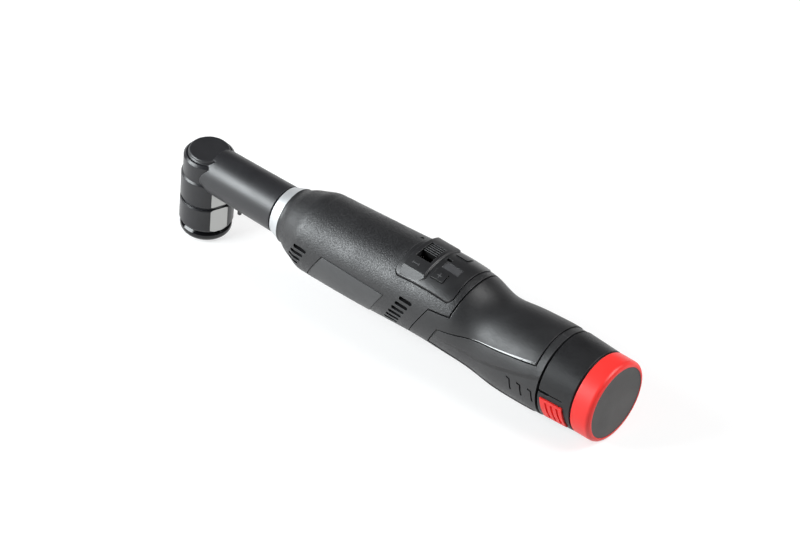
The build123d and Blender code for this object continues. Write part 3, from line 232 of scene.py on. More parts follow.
class EffectGroups:
    """Shader node groups that several finishes share, each built once."""

    grit_fineness = 2.3
    grit_height = 0.8
    spark_range = (0.45, 1.15)
    noise_range = (0.3, 0.7)
    speck_fineness = 5.0
    marks_range = (0.1, 0.45)
    wear_and_highlight_range = (0.0, 0.17)
    wear_and_highlight_samples = 4
    edge_samples = 6

    def __init__(self) -> None:
        """Build every group."""
        self.spark = self._spark()
        self.satin = self._satin()
        self.turned = self._turned()
        self.handling = self._handling()
        self.wear_and_highlight = self._wear_and_highlight()
        self.soft_edges = self._soft_edges()

    @staticmethod
    def _group(name: str, inputs: dict[str, float], outputs: dict[str, str]) -> tuple[Graph, dict, dict]:
        """Make an empty group with named sockets.

        Args:
            name: Name of the group.
            inputs: Number inputs with their usual values. A vector input named Place is always there.
            outputs: Names of the outputs with their socket types.

        Returns:
            The graph, its input sockets and its output sockets by name.
        """
        tree = bpy.data.node_groups.new(name, "ShaderNodeTree")
        tree.interface.new_socket("Place", in_out="INPUT", socket_type="NodeSocketVector")
        for label, usual in inputs.items():
            socket = tree.interface.new_socket(label, in_out="INPUT", socket_type="NodeSocketFloat")
            socket.default_value = usual
        for label, kind in outputs.items():
            tree.interface.new_socket(label, in_out="OUTPUT", socket_type=kind)
        graph = Graph(tree)
        start = graph.node("NodeGroupInput")
        end = graph.node("NodeGroupOutput")
        return graph, start.outputs, end.inputs

    def _spark(self) -> bpy.types.NodeTree:
        """Pitted texture of a spark-eroded mould: shallow cells with finer grit in them.

        Returns:
            The group.
        """
        outputs = {"Height": "NodeSocketFloat", "Tone": "NodeSocketFloat"}
        graph, given, result = self._group("spark_grain", {"Scale": 1100.0}, outputs)
        pits = graph.node("ShaderNodeTexVoronoi", feature="SMOOTH_F1")
        graph.feed(given["Place"], pits.inputs["Vector"])
        graph.feed(given["Scale"], pits.inputs["Scale"])
        fineness = graph.math("MULTIPLY", given["Scale"], self.grit_fineness)
        grit = graph.noise(given["Place"], fineness, detail=2.0)
        height = graph.math("ADD", pits.outputs["Distance"], graph.math("MULTIPLY", grit, self.grit_height))
        graph.feed(height, result["Height"])
        graph.feed(graph.remap(height, *self.spark_range), result["Tone"])
        return graph.tree

    def _satin(self) -> bpy.types.NodeTree:
        """Very fine, even grain of coated or moulded satin faces.

        Returns:
            The group.
        """
        outputs = {"Height": "NodeSocketFloat", "Tone": "NodeSocketFloat"}
        graph, given, result = self._group("satin_grain", {"Scale": 2600.0}, outputs)
        fine = graph.noise(given["Place"], given["Scale"], detail=3.0)
        graph.feed(fine, result["Height"])
        graph.feed(graph.remap(fine, *self.noise_range), result["Tone"])
        return graph.tree

    def _turned(self) -> bpy.types.NodeTree:
        """Tool lines round a turned part; the axis comes in as its shares along X and Z.

        Returns:
            The group.
        """
        outputs = {"Height": "NodeSocketFloat", "Tone": "NodeSocketFloat"}
        shares = {"Along X": 1.0, "Along Z": 0.0, "Scale": 5200.0}
        graph, given, result = self._group("turned_lines", shares, outputs)
        parts = graph.node("ShaderNodeSeparateXYZ")
        graph.feed(given["Place"], parts.inputs[0])
        along_x = graph.math("MULTIPLY", parts.outputs["X"], given["Along X"])
        along_z = graph.math("MULTIPLY", parts.outputs["Z"], given["Along Z"])
        lines = graph.node("ShaderNodeTexNoise", noise_dimensions="1D")
        graph.feed(graph.math("ADD", along_x, along_z), lines.inputs["W"])
        graph.feed(given["Scale"], lines.inputs["Scale"])
        lines.inputs["Detail"].default_value = 4.0
        graph.feed(lines.outputs[0], result["Height"])
        graph.feed(lines.outputs[0], result["Tone"])
        return graph.tree

    def _handling(self) -> bpy.types.NodeTree:
        """Broad, faint marks of handling and dust.

        Returns:
            The group.
        """
        outputs = {"Tone": "NodeSocketFloat", "Gloss": "NodeSocketFloat"}
        graph, given, result = self._group("handling_marks", {"Scale": 55.0}, outputs)
        broad = graph.noise(given["Place"], given["Scale"], detail=4.0)
        fineness = graph.math("MULTIPLY", given["Scale"], self.speck_fineness)
        specks = graph.noise(given["Place"], fineness, detail=5.0)
        graph.feed(graph.remap(graph.math("MULTIPLY", broad, specks), *self.marks_range), result["Tone"])
        graph.feed(graph.remap(broad, *self.noise_range), result["Gloss"])
        return graph.tree

    def _wear_and_highlight(self) -> bpy.types.NodeTree:
        """Mask of rubbed edges, broken up by noise; on the black plastics the same mask also carries a
        painted highlight along the edges.

        Returns:
            The group.
        """
        inputs = {"Width": 0.0004, "Scale": 700.0, "Amount": 1.0}
        graph, given, result = self._group("edge_wear_and_highlight", inputs, {"Mask": "NodeSocketFloat"})
        rounded = graph.node("ShaderNodeBevel", samples=self.wear_and_highlight_samples)
        graph.feed(given["Width"], rounded.inputs["Radius"])
        plain = graph.node("ShaderNodeNewGeometry")
        facing = graph.node("ShaderNodeVectorMath", operation="DOT_PRODUCT")
        graph.feed(rounded.outputs[0], facing.inputs[0])
        graph.feed(plain.outputs["Normal"], facing.inputs[1])
        edge = graph.math("SUBTRACT", 1.0, facing.outputs["Value"])
        broken = graph.noise(given["Place"], given["Scale"], detail=3.0)
        strength = graph.math("MULTIPLY", graph.math("MULTIPLY", edge, broken), given["Amount"])
        graph.feed(graph.remap(strength, *self.wear_and_highlight_range), result["Mask"])
        return graph.tree

    def _soft_edges(self) -> bpy.types.NodeTree:
        """Normal that rounds off sharp edges.

        Returns:
            The group.
        """
        graph, given, result = self._group("soft_edges", {"Radius": 0.0003}, {"Normal": "NodeSocketVector"})
        rounded = graph.node("ShaderNodeBevel", samples=self.edge_samples)
        graph.feed(given["Radius"], rounded.inputs["Radius"])
        graph.feed(rounded.outputs[0], result["Normal"])
        return graph.tree


@dataclass
class Surface:
    """Sockets that describe a surface while its material is being made."""

    graph: Graph
    shader: bpy.types.Node
    place: Socket
    colour: Socket
    gloss: Socket
    height: Socket


@dataclass(frozen=True)
class Finish:
    """One procedural surface finish, lengths in metres."""

    name: str
    colour: Colour
    roughness: float
    metallic: float = 0.0
    specular: float = 0.5
    grain: Grain = Grain.SATIN
    grain_scale: float = 2600.0
    grain_depth: float = 0.01 * MM
    grain_strength: float = 0.35
    grain_gloss: float = 0.04
    tone_spread: float = 0.25
    gloss_spread: float = 0.06
    marks_scale: float = 55.0
    axis: Axis = Axis.X
    # Colour laid on edges: bare metal as real wear of the coats, light grey on the black plastics as wear
    # plus a painted edge highlight.
    wear_and_highlight_colour: Colour | None = None
    wear_and_highlight_amount: float = 1.0
    wear_and_highlight_width: float = 0.4 * MM
    edge_radius: float = 0.3 * MM

    def _relief(self, groups: EffectGroups) -> tuple[bpy.types.NodeTree, dict[str, float]]:
        """Pick the relief group.

        Args:
            groups: Shared effect groups.

        Returns:
            The group and its input values.
        """
        values = {"Scale": self.grain_scale}
        if self.grain is Grain.SPARK:
            return groups.spark, values
        if self.grain is Grain.TURNED:
            return groups.turned, {**values, "Along X": self.axis.value[0], "Along Z": self.axis.value[2]}
        return groups.satin, values

    def _tones(self) -> tuple[Colour, Colour]:
        """Spread the colour into two shades.

        Returns:
            The darkest and the lightest shade.
        """
        low = tuple(share * (1.0 - self.tone_spread) for share in self.colour)
        high = tuple(min(1.0, share * (1.0 + self.tone_spread)) for share in self.colour)
        return low, high

    def _local(self, surface: Surface) -> Surface:
        """Return the surface with what only this finish has; a plain finish has nothing more."""
        return surface

    def material(self, groups: EffectGroups) -> bpy.types.Material:
        """Build the material.

        Args:
            groups: Shared effect groups.

        Returns:
            The material.
        """
        made = bpy.data.materials.new(self.name)
        made.use_nodes = True
        graph = Graph(made.node_tree)
        shader = made.node_tree.nodes["Principled BSDF"]
        shader.inputs["Metallic"].default_value = self.metallic
        shader.inputs["Specular IOR Level"].default_value = self.specular
        place = graph.node("ShaderNodeTexCoord").outputs["Object"]
        tree, values = self._relief(groups)
        relief = graph.effect(tree, place, values)
        marks = graph.effect(groups.handling, place, {"Scale": self.marks_scale})

        share = graph.blend(relief.outputs["Tone"], marks.outputs["Tone"], 1.0)
        colour = graph.mix(share, *self._tones())
        # Edge colour: real wear, and on the black plastics also a painted highlight along the edges.
        if self.wear_and_highlight_colour is not None:
            worn_and_lit_edges = graph.effect(groups.wear_and_highlight, place, {"Width": self.wear_and_highlight_width, "Amount": self.wear_and_highlight_amount})
            colour = graph.mix(worn_and_lit_edges.outputs["Mask"], colour, self.wear_and_highlight_colour)
        low = self.roughness - self.gloss_spread - self.grain_gloss
        gloss = graph.math("MULTIPLY_ADD", marks.outputs["Gloss"], 2.0 * self.gloss_spread, low)
        gloss = graph.math("MULTIPLY_ADD", relief.outputs["Tone"], 2.0 * self.grain_gloss, gloss)

        surface = Surface(graph, shader, place, colour, gloss, relief.outputs["Height"])
        surface = self._local(surface)
        graph.feed(surface.colour, shader.inputs["Base Color"])
        graph.feed(surface.gloss, shader.inputs["Roughness"])
        edges = graph.effect(groups.soft_edges, place, {"Radius": self.edge_radius})
        bump = graph.node("ShaderNodeBump")
        bump.inputs["Strength"].default_value = self.grain_strength
        bump.inputs["Distance"].default_value = self.grain_depth
        graph.feed(surface.height, bump.inputs["Height"])
        graph.feed(edges.outputs["Normal"], bump.inputs["Normal"])
        graph.feed(bump.outputs["Normal"], shader.inputs["Normal"])
        return made


@dataclass(frozen=True)
class FlattedCoat(Finish):
    """Coat with two bare spanner flats, milled through it to the metal."""

    turn_deg: float = -21.0
    top_z: float = 36.0 * MM
    facing: float = 0.9992
    reach: float = 14.0 * MM
    bare_colour: Colour = (0.44, 0.44, 0.43)
    bare_roughness: float = 0.36

    def _along(self, graph: Graph, vector: Socket, least: float) -> Socket:
        """Return the mask of where a vector's part along the flats' direction is large enough.

        Args:
            graph: Graph of the material.
            vector: Vector to test.
            least: Smallest part that counts.

        Returns:
            The mask socket.
        """
        turn = math.radians(self.turn_deg)
        part = graph.node("ShaderNodeVectorMath", operation="DOT_PRODUCT")
        graph.feed(vector, part.inputs[0])
        part.inputs[1].default_value = (math.cos(turn), math.sin(turn), 0.0)
        return graph.math("GREATER_THAN", graph.math("ABSOLUTE", part.outputs["Value"]), least)

    def _local(self, surface: Surface) -> Surface:
        """Show bare metal on the flats: faces along their direction, far enough out and low on the head.

        Args:
            surface: The coat.

        Returns:
            The coat with its flats.
        """
        graph = surface.graph
        flat = self._along(graph, graph.node("ShaderNodeTexCoord").outputs["Normal"], self.facing)
        outer = self._along(graph, surface.place, self.reach)
        parts = graph.node("ShaderNodeSeparateXYZ")
        graph.feed(surface.place, parts.inputs[0])
        low = graph.math("LESS_THAN", parts.outputs["Z"], self.top_z)
        bare = graph.math("MULTIPLY", graph.math("MULTIPLY", flat, outer), low)
        surface.colour = graph.mix(bare, surface.colour, self.bare_colour)
        surface.gloss = graph.blend(bare, surface.gloss, self.bare_roughness)
        graph.feed(bare, surface.shader.inputs["Metallic"])
        return surface


@dataclass(frozen=True)
class CreasedShell(Finish):
    """Hard shell with a soft crease that climbs along its flank."""

    crease_z: float = 43.5 * MM
    bend_x: float = 207.0 * MM
    bend_soft: float = 10.0 * MM
    climb: float = 0.27
    width: float = 1.6 * MM
    crease_depth: float = 44.0

    def _local(self, surface: Surface) -> Surface:
        """Add a smooth step to the relief, following the crease line.

        Args:
            surface: The shell.

        Returns:
            The shell with its crease.
        """
        graph = surface.graph
        parts = graph.node("ShaderNodeSeparateXYZ")
        graph.feed(surface.place, parts.inputs[0])
        behind = graph.math("SUBTRACT", parts.outputs["X"], self.bend_x)
        past = graph.math("SMOOTH_MAX", behind, 0.0, self.bend_soft)
        line = graph.math("MULTIPLY_ADD", past, self.climb, self.crease_z)
        above = graph.math("SUBTRACT", parts.outputs["Z"], line)
        step = graph.remap(above, -self.width, self.width, smooth=True)
        surface.height = graph.math("MULTIPLY_ADD", step, self.crease_depth, surface.height)
        return surface


BARE_METAL = (0.40, 0.40, 0.42)
# Light grey for the black plastics' edges: partly rubbed wear, partly a painted highlight standing in for
# light caught on the edges.
RUBBED_PLASTIC_AND_EDGE_HIGHLIGHT = (0.10, 0.10, 0.105)
BLACK_COAT = Finish(
    "satin_black_coat", (0.015, 0.015, 0.017), 0.42, specular=0.68, grain_strength=0.25,
    wear_and_highlight_colour=BARE_METAL, wear_and_highlight_amount=0.15, wear_and_highlight_width=0.25 * MM, edge_radius=0.35 * MM)
HEAD_COAT = FlattedCoat(
    "head_black_coat", (0.011, 0.011, 0.013), 0.34, specular=0.5, grain_strength=0.25,
    wear_and_highlight_colour=BARE_METAL, wear_and_highlight_amount=0.12, wear_and_highlight_width=0.25 * MM, edge_radius=0.35 * MM)
GLOSS_BLACK = Finish(
    "polished_black", (0.002, 0.002, 0.003), 0.11, specular=0.45, grain_strength=0.05, gloss_spread=0.03,
    grain_gloss=0.01)
ALUMINIUM = Finish(
    "turned_aluminium", (0.59, 0.60, 0.61), 0.47, metallic=0.6, grain=Grain.TURNED, tone_spread=0.10,
    grain_strength=0.4)
BARE_STEEL = Finish(
    "ground_steel", (0.55, 0.56, 0.58), 0.3, metallic=1.0, grain=Grain.TURNED, axis=Axis.Z, tone_spread=0.15)
GEAR_STEEL = Finish("oiled_gear_steel", (0.38, 0.38, 0.40), 0.34, metallic=1.0, tone_spread=0.2)
BEARING_STEEL = Finish(
    "bearing_steel", (0.68, 0.69, 0.71), 0.2, metallic=1.0, tone_spread=0.1, gloss_spread=0.03)
SPARK_BLACK = Finish(
    "spark_black_plastic", (0.011, 0.011, 0.012), 0.45, specular=0.66, grain=Grain.SPARK, grain_scale=1300.0,
    grain_depth=0.1 * MM, grain_strength=0.9, grain_gloss=0.12, tone_spread=0.4, wear_and_highlight_colour=RUBBED_PLASTIC_AND_EDGE_HIGHLIGHT,
    wear_and_highlight_amount=0.4)
SHELL_BLACK = CreasedShell(
    "shell_black_plastic", (0.012, 0.012, 0.013), 0.46, specular=0.7, grain=Grain.SPARK, grain_scale=1500.0,
    grain_depth=0.05 * MM, grain_strength=0.7, grain_gloss=0.1, tone_spread=0.35, wear_and_highlight_colour=RUBBED_PLASTIC_AND_EDGE_HIGHLIGHT,
    wear_and_highlight_amount=0.4)
CASE_BLACK = Finish(
    "case_black_plastic", (0.007, 0.007, 0.008), 0.42, specular=0.48, grain=Grain.SPARK, grain_scale=1500.0,
    grain_depth=0.05 * MM, grain_strength=0.7, grain_gloss=0.1, tone_spread=0.35, wear_and_highlight_colour=RUBBED_PLASTIC_AND_EDGE_HIGHLIGHT,
    wear_and_highlight_amount=0.4)
SMOOTH_BLACK = Finish(
    "smooth_black_plastic", (0.011, 0.011, 0.012), 0.38, specular=0.8, grain_strength=0.25,
    wear_and_highlight_colour=RUBBED_PLASTIC_AND_EDGE_HIGHLIGHT, wear_and_highlight_amount=0.8)
KEY_BLACK = Finish(
    "key_black_plastic", (0.010, 0.010, 0.011), 0.36, specular=0.8, grain_strength=0.2, edge_radius=0.14 * MM)
# Painted highlight: the rib crests are made light grey to stand in for the light their edges catch.
RIB_GREY_PAINTED_HIGHLIGHT = Finish(
    "rib_crest_painted_highlight", (0.075, 0.075, 0.078), 0.34, specular=0.9, grain_strength=0.1, tone_spread=0.15,
    edge_radius=0.05 * MM)
# Painted shade: the slider and the switch inside the window are near black, darker than the other blacks, so
# that the window's recess reads as shade.
SWITCH_INSIDE_PAINTED_SHADE = Finish("switch_inside_painted_shade", (0.003, 0.003, 0.003), 0.7, specular=0.2, grain_strength=0.1)
PLATE_GREY = Finish(
    "name_plate_satin", (0.031, 0.032, 0.0335), 0.50, specular=0.9, grain_strength=0.1, grain_gloss=0.02,
    tone_spread=0.08)
SOFT_RUBBER = Finish(
    "soft_black_rubber", (0.009, 0.009, 0.010), 0.46, specular=0.66, grain=Grain.SPARK, grain_scale=1900.0,
    grain_depth=0.03 * MM, grain_strength=0.6, grain_gloss=0.08, tone_spread=0.25, edge_radius=0.5 * MM)
RUBBER_LIP = Finish(
    "smooth_rubber_lip", (0.02, 0.02, 0.022), 0.22, specular=1.0, grain_strength=0.05, grain_gloss=0.01,
    gloss_spread=0.03, edge_radius=0.05 * MM)
RED_PLASTIC = Finish(
    "satin_red_plastic", (0.96, 0.033, 0.028), 0.42, grain_strength=0.12, grain_gloss=0.02, tone_spread=0.04,
    edge_radius=0.35 * MM)
SMOKE_WINDOW = Finish(
    "smoked_window", (0.06, 0.06, 0.063), 0.2, grain_strength=0.03, gloss_spread=0.03, grain_gloss=0.01)
DARK_PLATE = Finish("dark_satin_plate", (0.034, 0.033, 0.032), 0.46, grain_strength=0.12, tone_spread=0.12)
MARK_GREY = Finish(
    "raised_mark_grey", (0.07, 0.07, 0.073), 0.5, grain_strength=0.1, tone_spread=0.1, edge_radius=0.06 * MM)
SOLDER_MASK = Finish("solder_mask", (0.02, 0.17, 0.07), 0.35, tone_spread=0.35, marks_scale=240.0)
PALE_PLASTIC = Finish("pale_plastic", (0.66, 0.64, 0.58), 0.5, tone_spread=0.08)
COPPER = Finish("wound_copper", (0.66, 0.33, 0.17), 0.35, metallic=1.0, grain=Grain.TURNED, tone_spread=0.3)
MAGNET_GREY = Finish("sintered_magnet", (0.09, 0.09, 0.10), 0.6, grain=Grain.SPARK, tone_spread=0.3)
# Painted shade: the motor can behind the vent slots is made near black so that the slots read dark.
BLACKED_STEEL_PAINTED_SHADE = Finish(
    "blacked_steel_painted_shade", (0.012, 0.012, 0.013), 0.5, metallic=0.3, grain=Grain.TURNED, tone_spread=0.2)
WIRE_SLEEVE = Finish("wire_sleeve", (0.42, 0.02, 0.02), 0.45, tone_spread=0.15)
CELL_WRAP = Finish("cell_wrap", (0.03, 0.24, 0.38), 0.3, tone_spread=0.1)
NICKEL = Finish("nickel_strip", (0.72, 0.70, 0.66), 0.28, metallic=1.0, tone_spread=0.1)


def loft(made: bmesh.types.BMesh, sections: list[list[Vector]]) -> None:
    """Join sections into a closed bar.

    Args:
        made: Mesh that gets the bar.
        sections: Points round each section, from one end to the other.
    """
    rings = [[made.verts.new(spot) for spot in section] for section in sections]
    for first, second in zip(rings, rings[1:]):
        for k in range(len(first)):
            made.faces.new([first[k], first[k - 1], second[k - 1], second[k]])
    made.faces.new(rings[0])
    made.faces.new(rings[-1][::-1])


class Workshop:
    """The loaded frame and the finishes made so far."""

    edge_segments = 2

    def __init__(self, nodes: dict[str, bpy.types.Object]) -> None:
        """Keep the nodes and build the shared groups.

        Args:
            nodes: CAD node objects by name.
        """
        self.nodes = nodes
        self.groups = EffectGroups()
        self.made: dict[str, bpy.types.Material] = {}

    def coat(self, obj: bpy.types.Object, finish: Finish) -> None:
        """Give every material place of an object one finish.

        Args:
            obj: Object to dress.
            finish: Its finish, made on first use.
        """
        if finish.name not in self.made:
            self.made[finish.name] = finish.material(self.groups)
        if not obj.material_slots:
            obj.data.materials.append(self.made[finish.name])
        for place in obj.material_slots:
            place.material = self.made[finish.name]
        LOG.info("%s: %s", obj.name, finish.name)

    def search(self, node: str) -> BVHTree:
        """Return a search tree of a node's surface."""
        mesh = self.nodes[node].data
        return BVHTree.FromPolygons([v.co for v in mesh.vertices], [p.vertices for p in mesh.polygons])

    def piece(
        self, name: str, made: bmesh.types.BMesh, finish: Finish, body: str, slot: str, edge: float = 0.0,
    ) -> bpy.types.Object:
        """Turn a finished mesh into a piece that rides on a body.

        Args:
            name: Name of the new piece.
            made: Its mesh, which is freed.
            finish: Its finish.
            body: Body that it rides on.
            slot: Material slot of the record that it belongs to; not used.
            edge: Width of its soft edges in metres, or 0 for none.

        Returns:
            The new piece.
        """
        mesh = bpy.data.meshes.new(name)
        made.to_mesh(mesh)
        made.free()
        piece = bpy.data.objects.new(name, mesh)
        bpy.context.scene.collection.objects.link(piece)
        if edge:
            soft = piece.modifiers.new("soft_edges", "BEVEL")
            soft.width = edge
            soft.segments = self.edge_segments
            soft.limit_method = "ANGLE"
        self.coat(piece, finish)
        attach(piece, body)
        return piece


@dataclass(frozen=True)
class Stroke:
    """One straight bar of a mark, seen from above, in metres."""

    x0: float
    x1: float
    y0: float
    y1: float

    def holds(self, x: float, y: float) -> bool:
        """Return whether a point lies in the bar."""
        return self.x0 < x < self.x1 and self.y0 < y < self.y1


@dataclass
class RaisedMark:
    """Mark that stands a little proud of a node and follows its surface."""

    name: str
    carrier: str
    body: str
    strokes: tuple[Stroke, ...]
    finish: Finish = MARK_GREY
    proud: float = 0.12 * MM
    sunk: float = 0.1 * MM
    step: float = 0.3 * MM
    edge: float = 0.05 * MM
    ray_z: float = 1.0

    def _lines(self, edges: list[float]) -> list[float]:
        """Return grid lines through the bars' edges, no further apart than the step.

        Args:
            edges: Places of the bars' edges along one axis.

        Returns:
            Sorted places of the grid lines.
        """
        marks = sorted(set(edges))
        lines = [marks[0]]
        for start, end in zip(marks, marks[1:]):
            count = max(1, math.ceil((end - start) / self.step))
            lines.extend(start + (end - start) * i / count for i in range(1, count + 1))
        return lines

    def build(self, workshop: Workshop) -> bpy.types.Object:
        """Create the mark on its carrier.

        Args:
            workshop: Holds the carrier.

        Returns:
            The mark's object.
        """
        tree = workshop.search(self.carrier)
        xs = self._lines([edge for bar in self.strokes for edge in (bar.x0, bar.x1)])
        ys = self._lines([edge for bar in self.strokes for edge in (bar.y0, bar.y1)])
        made = bmesh.new()
        corners: dict[tuple[int, int, bool], bmesh.types.BMVert] = {}

        def corner(i: int, j: int, upper: bool) -> bmesh.types.BMVert:
            """Find a corner of the grid, made on first use.

            Args:
                i: Number of the line along X.
                j: Number of the line along Y.
                upper: Whether it lies on the mark's upper side.

            Returns:
                The corner.
            """
            if (i, j, upper) not in corners:
                hit = tree.ray_cast(Vector((xs[i], ys[j], self.ray_z)), Vector((0.0, 0.0, -1.0)))[0]
                z = hit.z + (self.proud if upper else -self.sunk)
                corners[i, j, upper] = made.verts.new((xs[i], ys[j], z))
            return corners[i, j, upper]

        cells = {
            (i, j) for i in range(len(xs) - 1) for j in range(len(ys) - 1)
            if any(bar.holds((xs[i] + xs[i + 1]) / 2, (ys[j] + ys[j + 1]) / 2) for bar in self.strokes)}
        for i, j in sorted(cells):
            ring = [(i, j), (i + 1, j), (i + 1, j + 1), (i, j + 1)]
            made.faces.new([corner(*place, True) for place in ring])
            made.faces.new([corner(*place, False) for place in reversed(ring)])
            beside = [(i, j - 1), (i + 1, j), (i, j + 1), (i - 1, j)]
            for first, second, other in zip(ring, ring[1:] + ring[:1], beside):
                if other not in cells:
                    wall = [(first, True), (first, False), (second, False), (second, True)]
                    made.faces.new([corner(*place, upper) for place, upper in wall])
        return workshop.piece(self.name, made, self.finish, self.body, "switch_plastic", self.edge)


@dataclass
class SubAssembly:
    """Nodes that belong together, each with its finish."""

    coats: dict[str, Finish] = field(default_factory=dict)

    def dress(self, workshop: Workshop) -> None:
        """Put the finishes on the nodes.

        Args:
            workshop: Holds the nodes and finishes.
        """
        for name, finish in self.coats.items():
            workshop.coat(workshop.nodes[name], finish)

    def build(self, workshop: Workshop) -> None:
        """Create pieces of its own; most sub-assemblies have none.

        Args:
            workshop: Holds the nodes and finishes.
        """


@dataclass
class GearHead(SubAssembly):
    """Upright head with its spindle and gears."""

    coats: dict[str, Finish] = field(default_factory=lambda: {
        "head_cap": BLACK_COAT, "gear_head": HEAD_COAT, "head_collar": HEAD_COAT, "seal_ring": GLOSS_BLACK,
        "spindle": BARE_STEEL, "crown_gear": GEAR_STEEL, "top_bearing": BEARING_STEEL,
        "spindle_bearing": BEARING_STEEL})


@dataclass
class LockCoil:
    """Coil spring round the lock pin."""

    name: str = "lock_coil"
    x: float = 23.5 * MM
    low_z: float = 33.6 * MM
    high_z: float = 36.9 * MM
    seat_z: float = 37.1 * MM
    radius: float = 1.65 * MM
    wire: float = 0.18 * MM
    turns: float = 2.5
    stations: int = 80
    sides: int = 10
    keep: float = 0.455

    def _ring(self, share: float) -> list[Vector]:
        """Return the wire's outline at one place along the coil.

        Args:
            share: Place along the coil, 0 at its lower end and 1 at its upper end.

        Returns:
            Points round the wire.
        """
        sweep = 2 * math.pi * self.turns
        turn = sweep * share
        outward = Vector((math.cos(turn), math.sin(turn), 0.0))
        along = Vector((-math.sin(turn) * self.radius * sweep, math.cos(turn) * self.radius * sweep, 0.0))
        along.z = self.high_z - self.low_z
        across = along.normalized().cross(outward)
        middle = Vector((self.x, 0.0, self.low_z + along.z * share)) + outward * self.radius
        steps = [2 * math.pi * k / self.sides for k in range(self.sides)]
        return [middle + (outward * math.cos(step) + across * math.sin(step)) * self.wire for step in steps]

    def build(self, workshop: Workshop) -> bpy.types.Object:
        """Create the spring in place of the stiff one.

        Args:
            workshop: Holds the finishes.

        Returns:
            The spring's object.
        """
        made = bmesh.new()
        loft(made, [self._ring(i / self.stations) for i in range(self.stations + 1)])
        bmesh.ops.recalc_face_normals(made, faces=made.faces)
        for face in made.faces:
            face.smooth = len(face.verts) != self.sides
        piece = workshop.piece(self.name, made, BEARING_STEEL, "frame", "bearing_steel")
        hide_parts("lock_spring")
        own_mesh(piece)
        return piece


@dataclass
class Neck(SubAssembly):
    """Tapered tube with the drive shaft and the spindle lock."""

    coats: dict[str, Finish] = field(default_factory=lambda: {
        "neck_tube": BLACK_COAT, "clamp_ring": ALUMINIUM, "lock_pin": BLACK_COAT, "lock_bush": BARE_STEEL,
        "drive_shaft": BARE_STEEL, "bevel_pinion": GEAR_STEEL, "front_bearing": BEARING_STEEL,
        "rear_bearing": BEARING_STEEL, "bearing_spacer": ALUMINIUM, "drive_coupling": PALE_PLASTIC})
    coil: LockCoil = field(default_factory=LockCoil)

    def build(self, workshop: Workshop) -> None:
        """Create the lock pin's spring.

        Args:
            workshop: Holds the nodes and finishes.
        """
        self.coil.build(workshop)


@dataclass
class MotorBody(SubAssembly):
    """Textured barrel with the motor and its fan."""

    coats: dict[str, Finish] = field(default_factory=lambda: {
        "motor_housing": SPARK_BLACK, "side_plates": PLATE_GREY, "front_plate": ALUMINIUM,
        "neck_screws": BARE_STEEL, "motor_can": BLACKED_STEEL_PAINTED_SHADE, "motor_magnets": MAGNET_GREY,
        "motor_endbell": PALE_PLASTIC, "motor_screws": BARE_STEEL, "armature": COPPER,
        "cooling_fan": SMOOTH_BLACK, "motor_leads": WIRE_SLEEVE})


@dataclass
class SwitchBlock(SubAssembly):
    """Raised bridge with the slider, two keys and their moulded marks."""

    coats: dict[str, Finish] = field(default_factory=lambda: {
        "switch_block": SMOOTH_BLACK, "power_slider": SWITCH_INSIDE_PAINTED_SHADE, "plus_button": KEY_BLACK,
        "minus_button": KEY_BLACK, "display_window": SMOKE_WINDOW, "slide_switch": SWITCH_INSIDE_PAINTED_SHADE,
        "button_board": SOLDER_MASK, "control_board": SOLDER_MASK})
    stroke: float = 0.38 * MM
    key_mark: float = 2.8 * MM
    on_mark_x: float = 154.5 * MM
    on_mark_y: float = -11.5 * MM
    on_mark_length: float = 4.2 * MM
    on_mark_foot: float = 1.5 * MM
    rib_count: int = 5
    rib_width: float = 0.56 * MM
    end_rib_width: float = 0.30 * MM
    end_rib_y: float = 0.21 * MM
    rib_inset: float = 0.3 * MM
    rib_proud: float = 0.22 * MM
    rib_edge: float = 0.16 * MM

    @staticmethod
    def _bar(x: float, y: float, length_x: float, length_y: float) -> Stroke:
        """Return a bar about its middle."""
        return Stroke(x - length_x / 2, x + length_x / 2, y - length_y / 2, y + length_y / 2)

    def _on_mark(self) -> RaisedMark:
        """Lay out the upright stroke with two feet beside the slider.

        Returns:
            The mark.
        """
        end = (self.on_mark_length - self.stroke) / 2
        strokes = (
            self._bar(self.on_mark_x, self.on_mark_y, self.on_mark_length, self.stroke),
            self._bar(self.on_mark_x - end, self.on_mark_y, self.stroke, self.on_mark_foot),
            self._bar(self.on_mark_x + end, self.on_mark_y, self.stroke, self.on_mark_foot))
        return RaisedMark("on_mark", "switch_block", "frame", strokes)

    def _key_mark(self, name: str, node: str, body: str, crossed: bool) -> RaisedMark:
        """Return the mark in the middle of a key.

        Args:
            name: Name of the mark.
            node: The key's node.
            body: The key's body.
            crossed: Whether it has a second bar across the first.

        Returns:
            The mark.
        """
        low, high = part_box(node)
        middle = (low + high) / 2
        strokes = [self._bar(middle.x, middle.y, self.stroke, self.key_mark)]
        if crossed:
            strokes.append(self._bar(middle.x, middle.y, self.key_mark, self.stroke))
        return RaisedMark(name, node, body, tuple(strokes))

    def _ribs(self) -> RaisedMark:
        """Lay out the light crests on the slider's ribs, between its grooves and along its two ends; their
        grey is a painted highlight.

        Returns:
            The crests.
        """
        low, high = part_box("power_slider")
        middle = (low.x + high.x) / 2
        length = high.x - low.x - 2 * self.rib_inset
        pitch = (high.y - low.y) / self.rib_count
        rows = [low.y + pitch * i for i in range(1, self.rib_count)]
        strokes = [self._bar(middle, y, length, self.rib_width) for y in rows]
        for y in (low.y + self.end_rib_y, high.y - self.end_rib_y):
            strokes.append(self._bar(middle, y, length, self.end_rib_width))
        # The crests' light grey is a painted highlight.
        return RaisedMark(
            "slider_ribs_painted_highlight", "power_slider", "slider", tuple(strokes), RIB_GREY_PAINTED_HIGHLIGHT, self.rib_proud,
            edge=self.rib_edge)

    def build(self, workshop: Workshop) -> None:
        """Create the marks and the slider's ribs.

        Args:
            workshop: Holds the nodes and finishes.
        """
        marks = (
            self._on_mark(), self._ribs(), self._key_mark("plus_mark", "plus_button", "plus_key", True),
            self._key_mark("minus_mark", "minus_button", "minus_key", False))
        for mark in marks:
            mark.build(workshop)


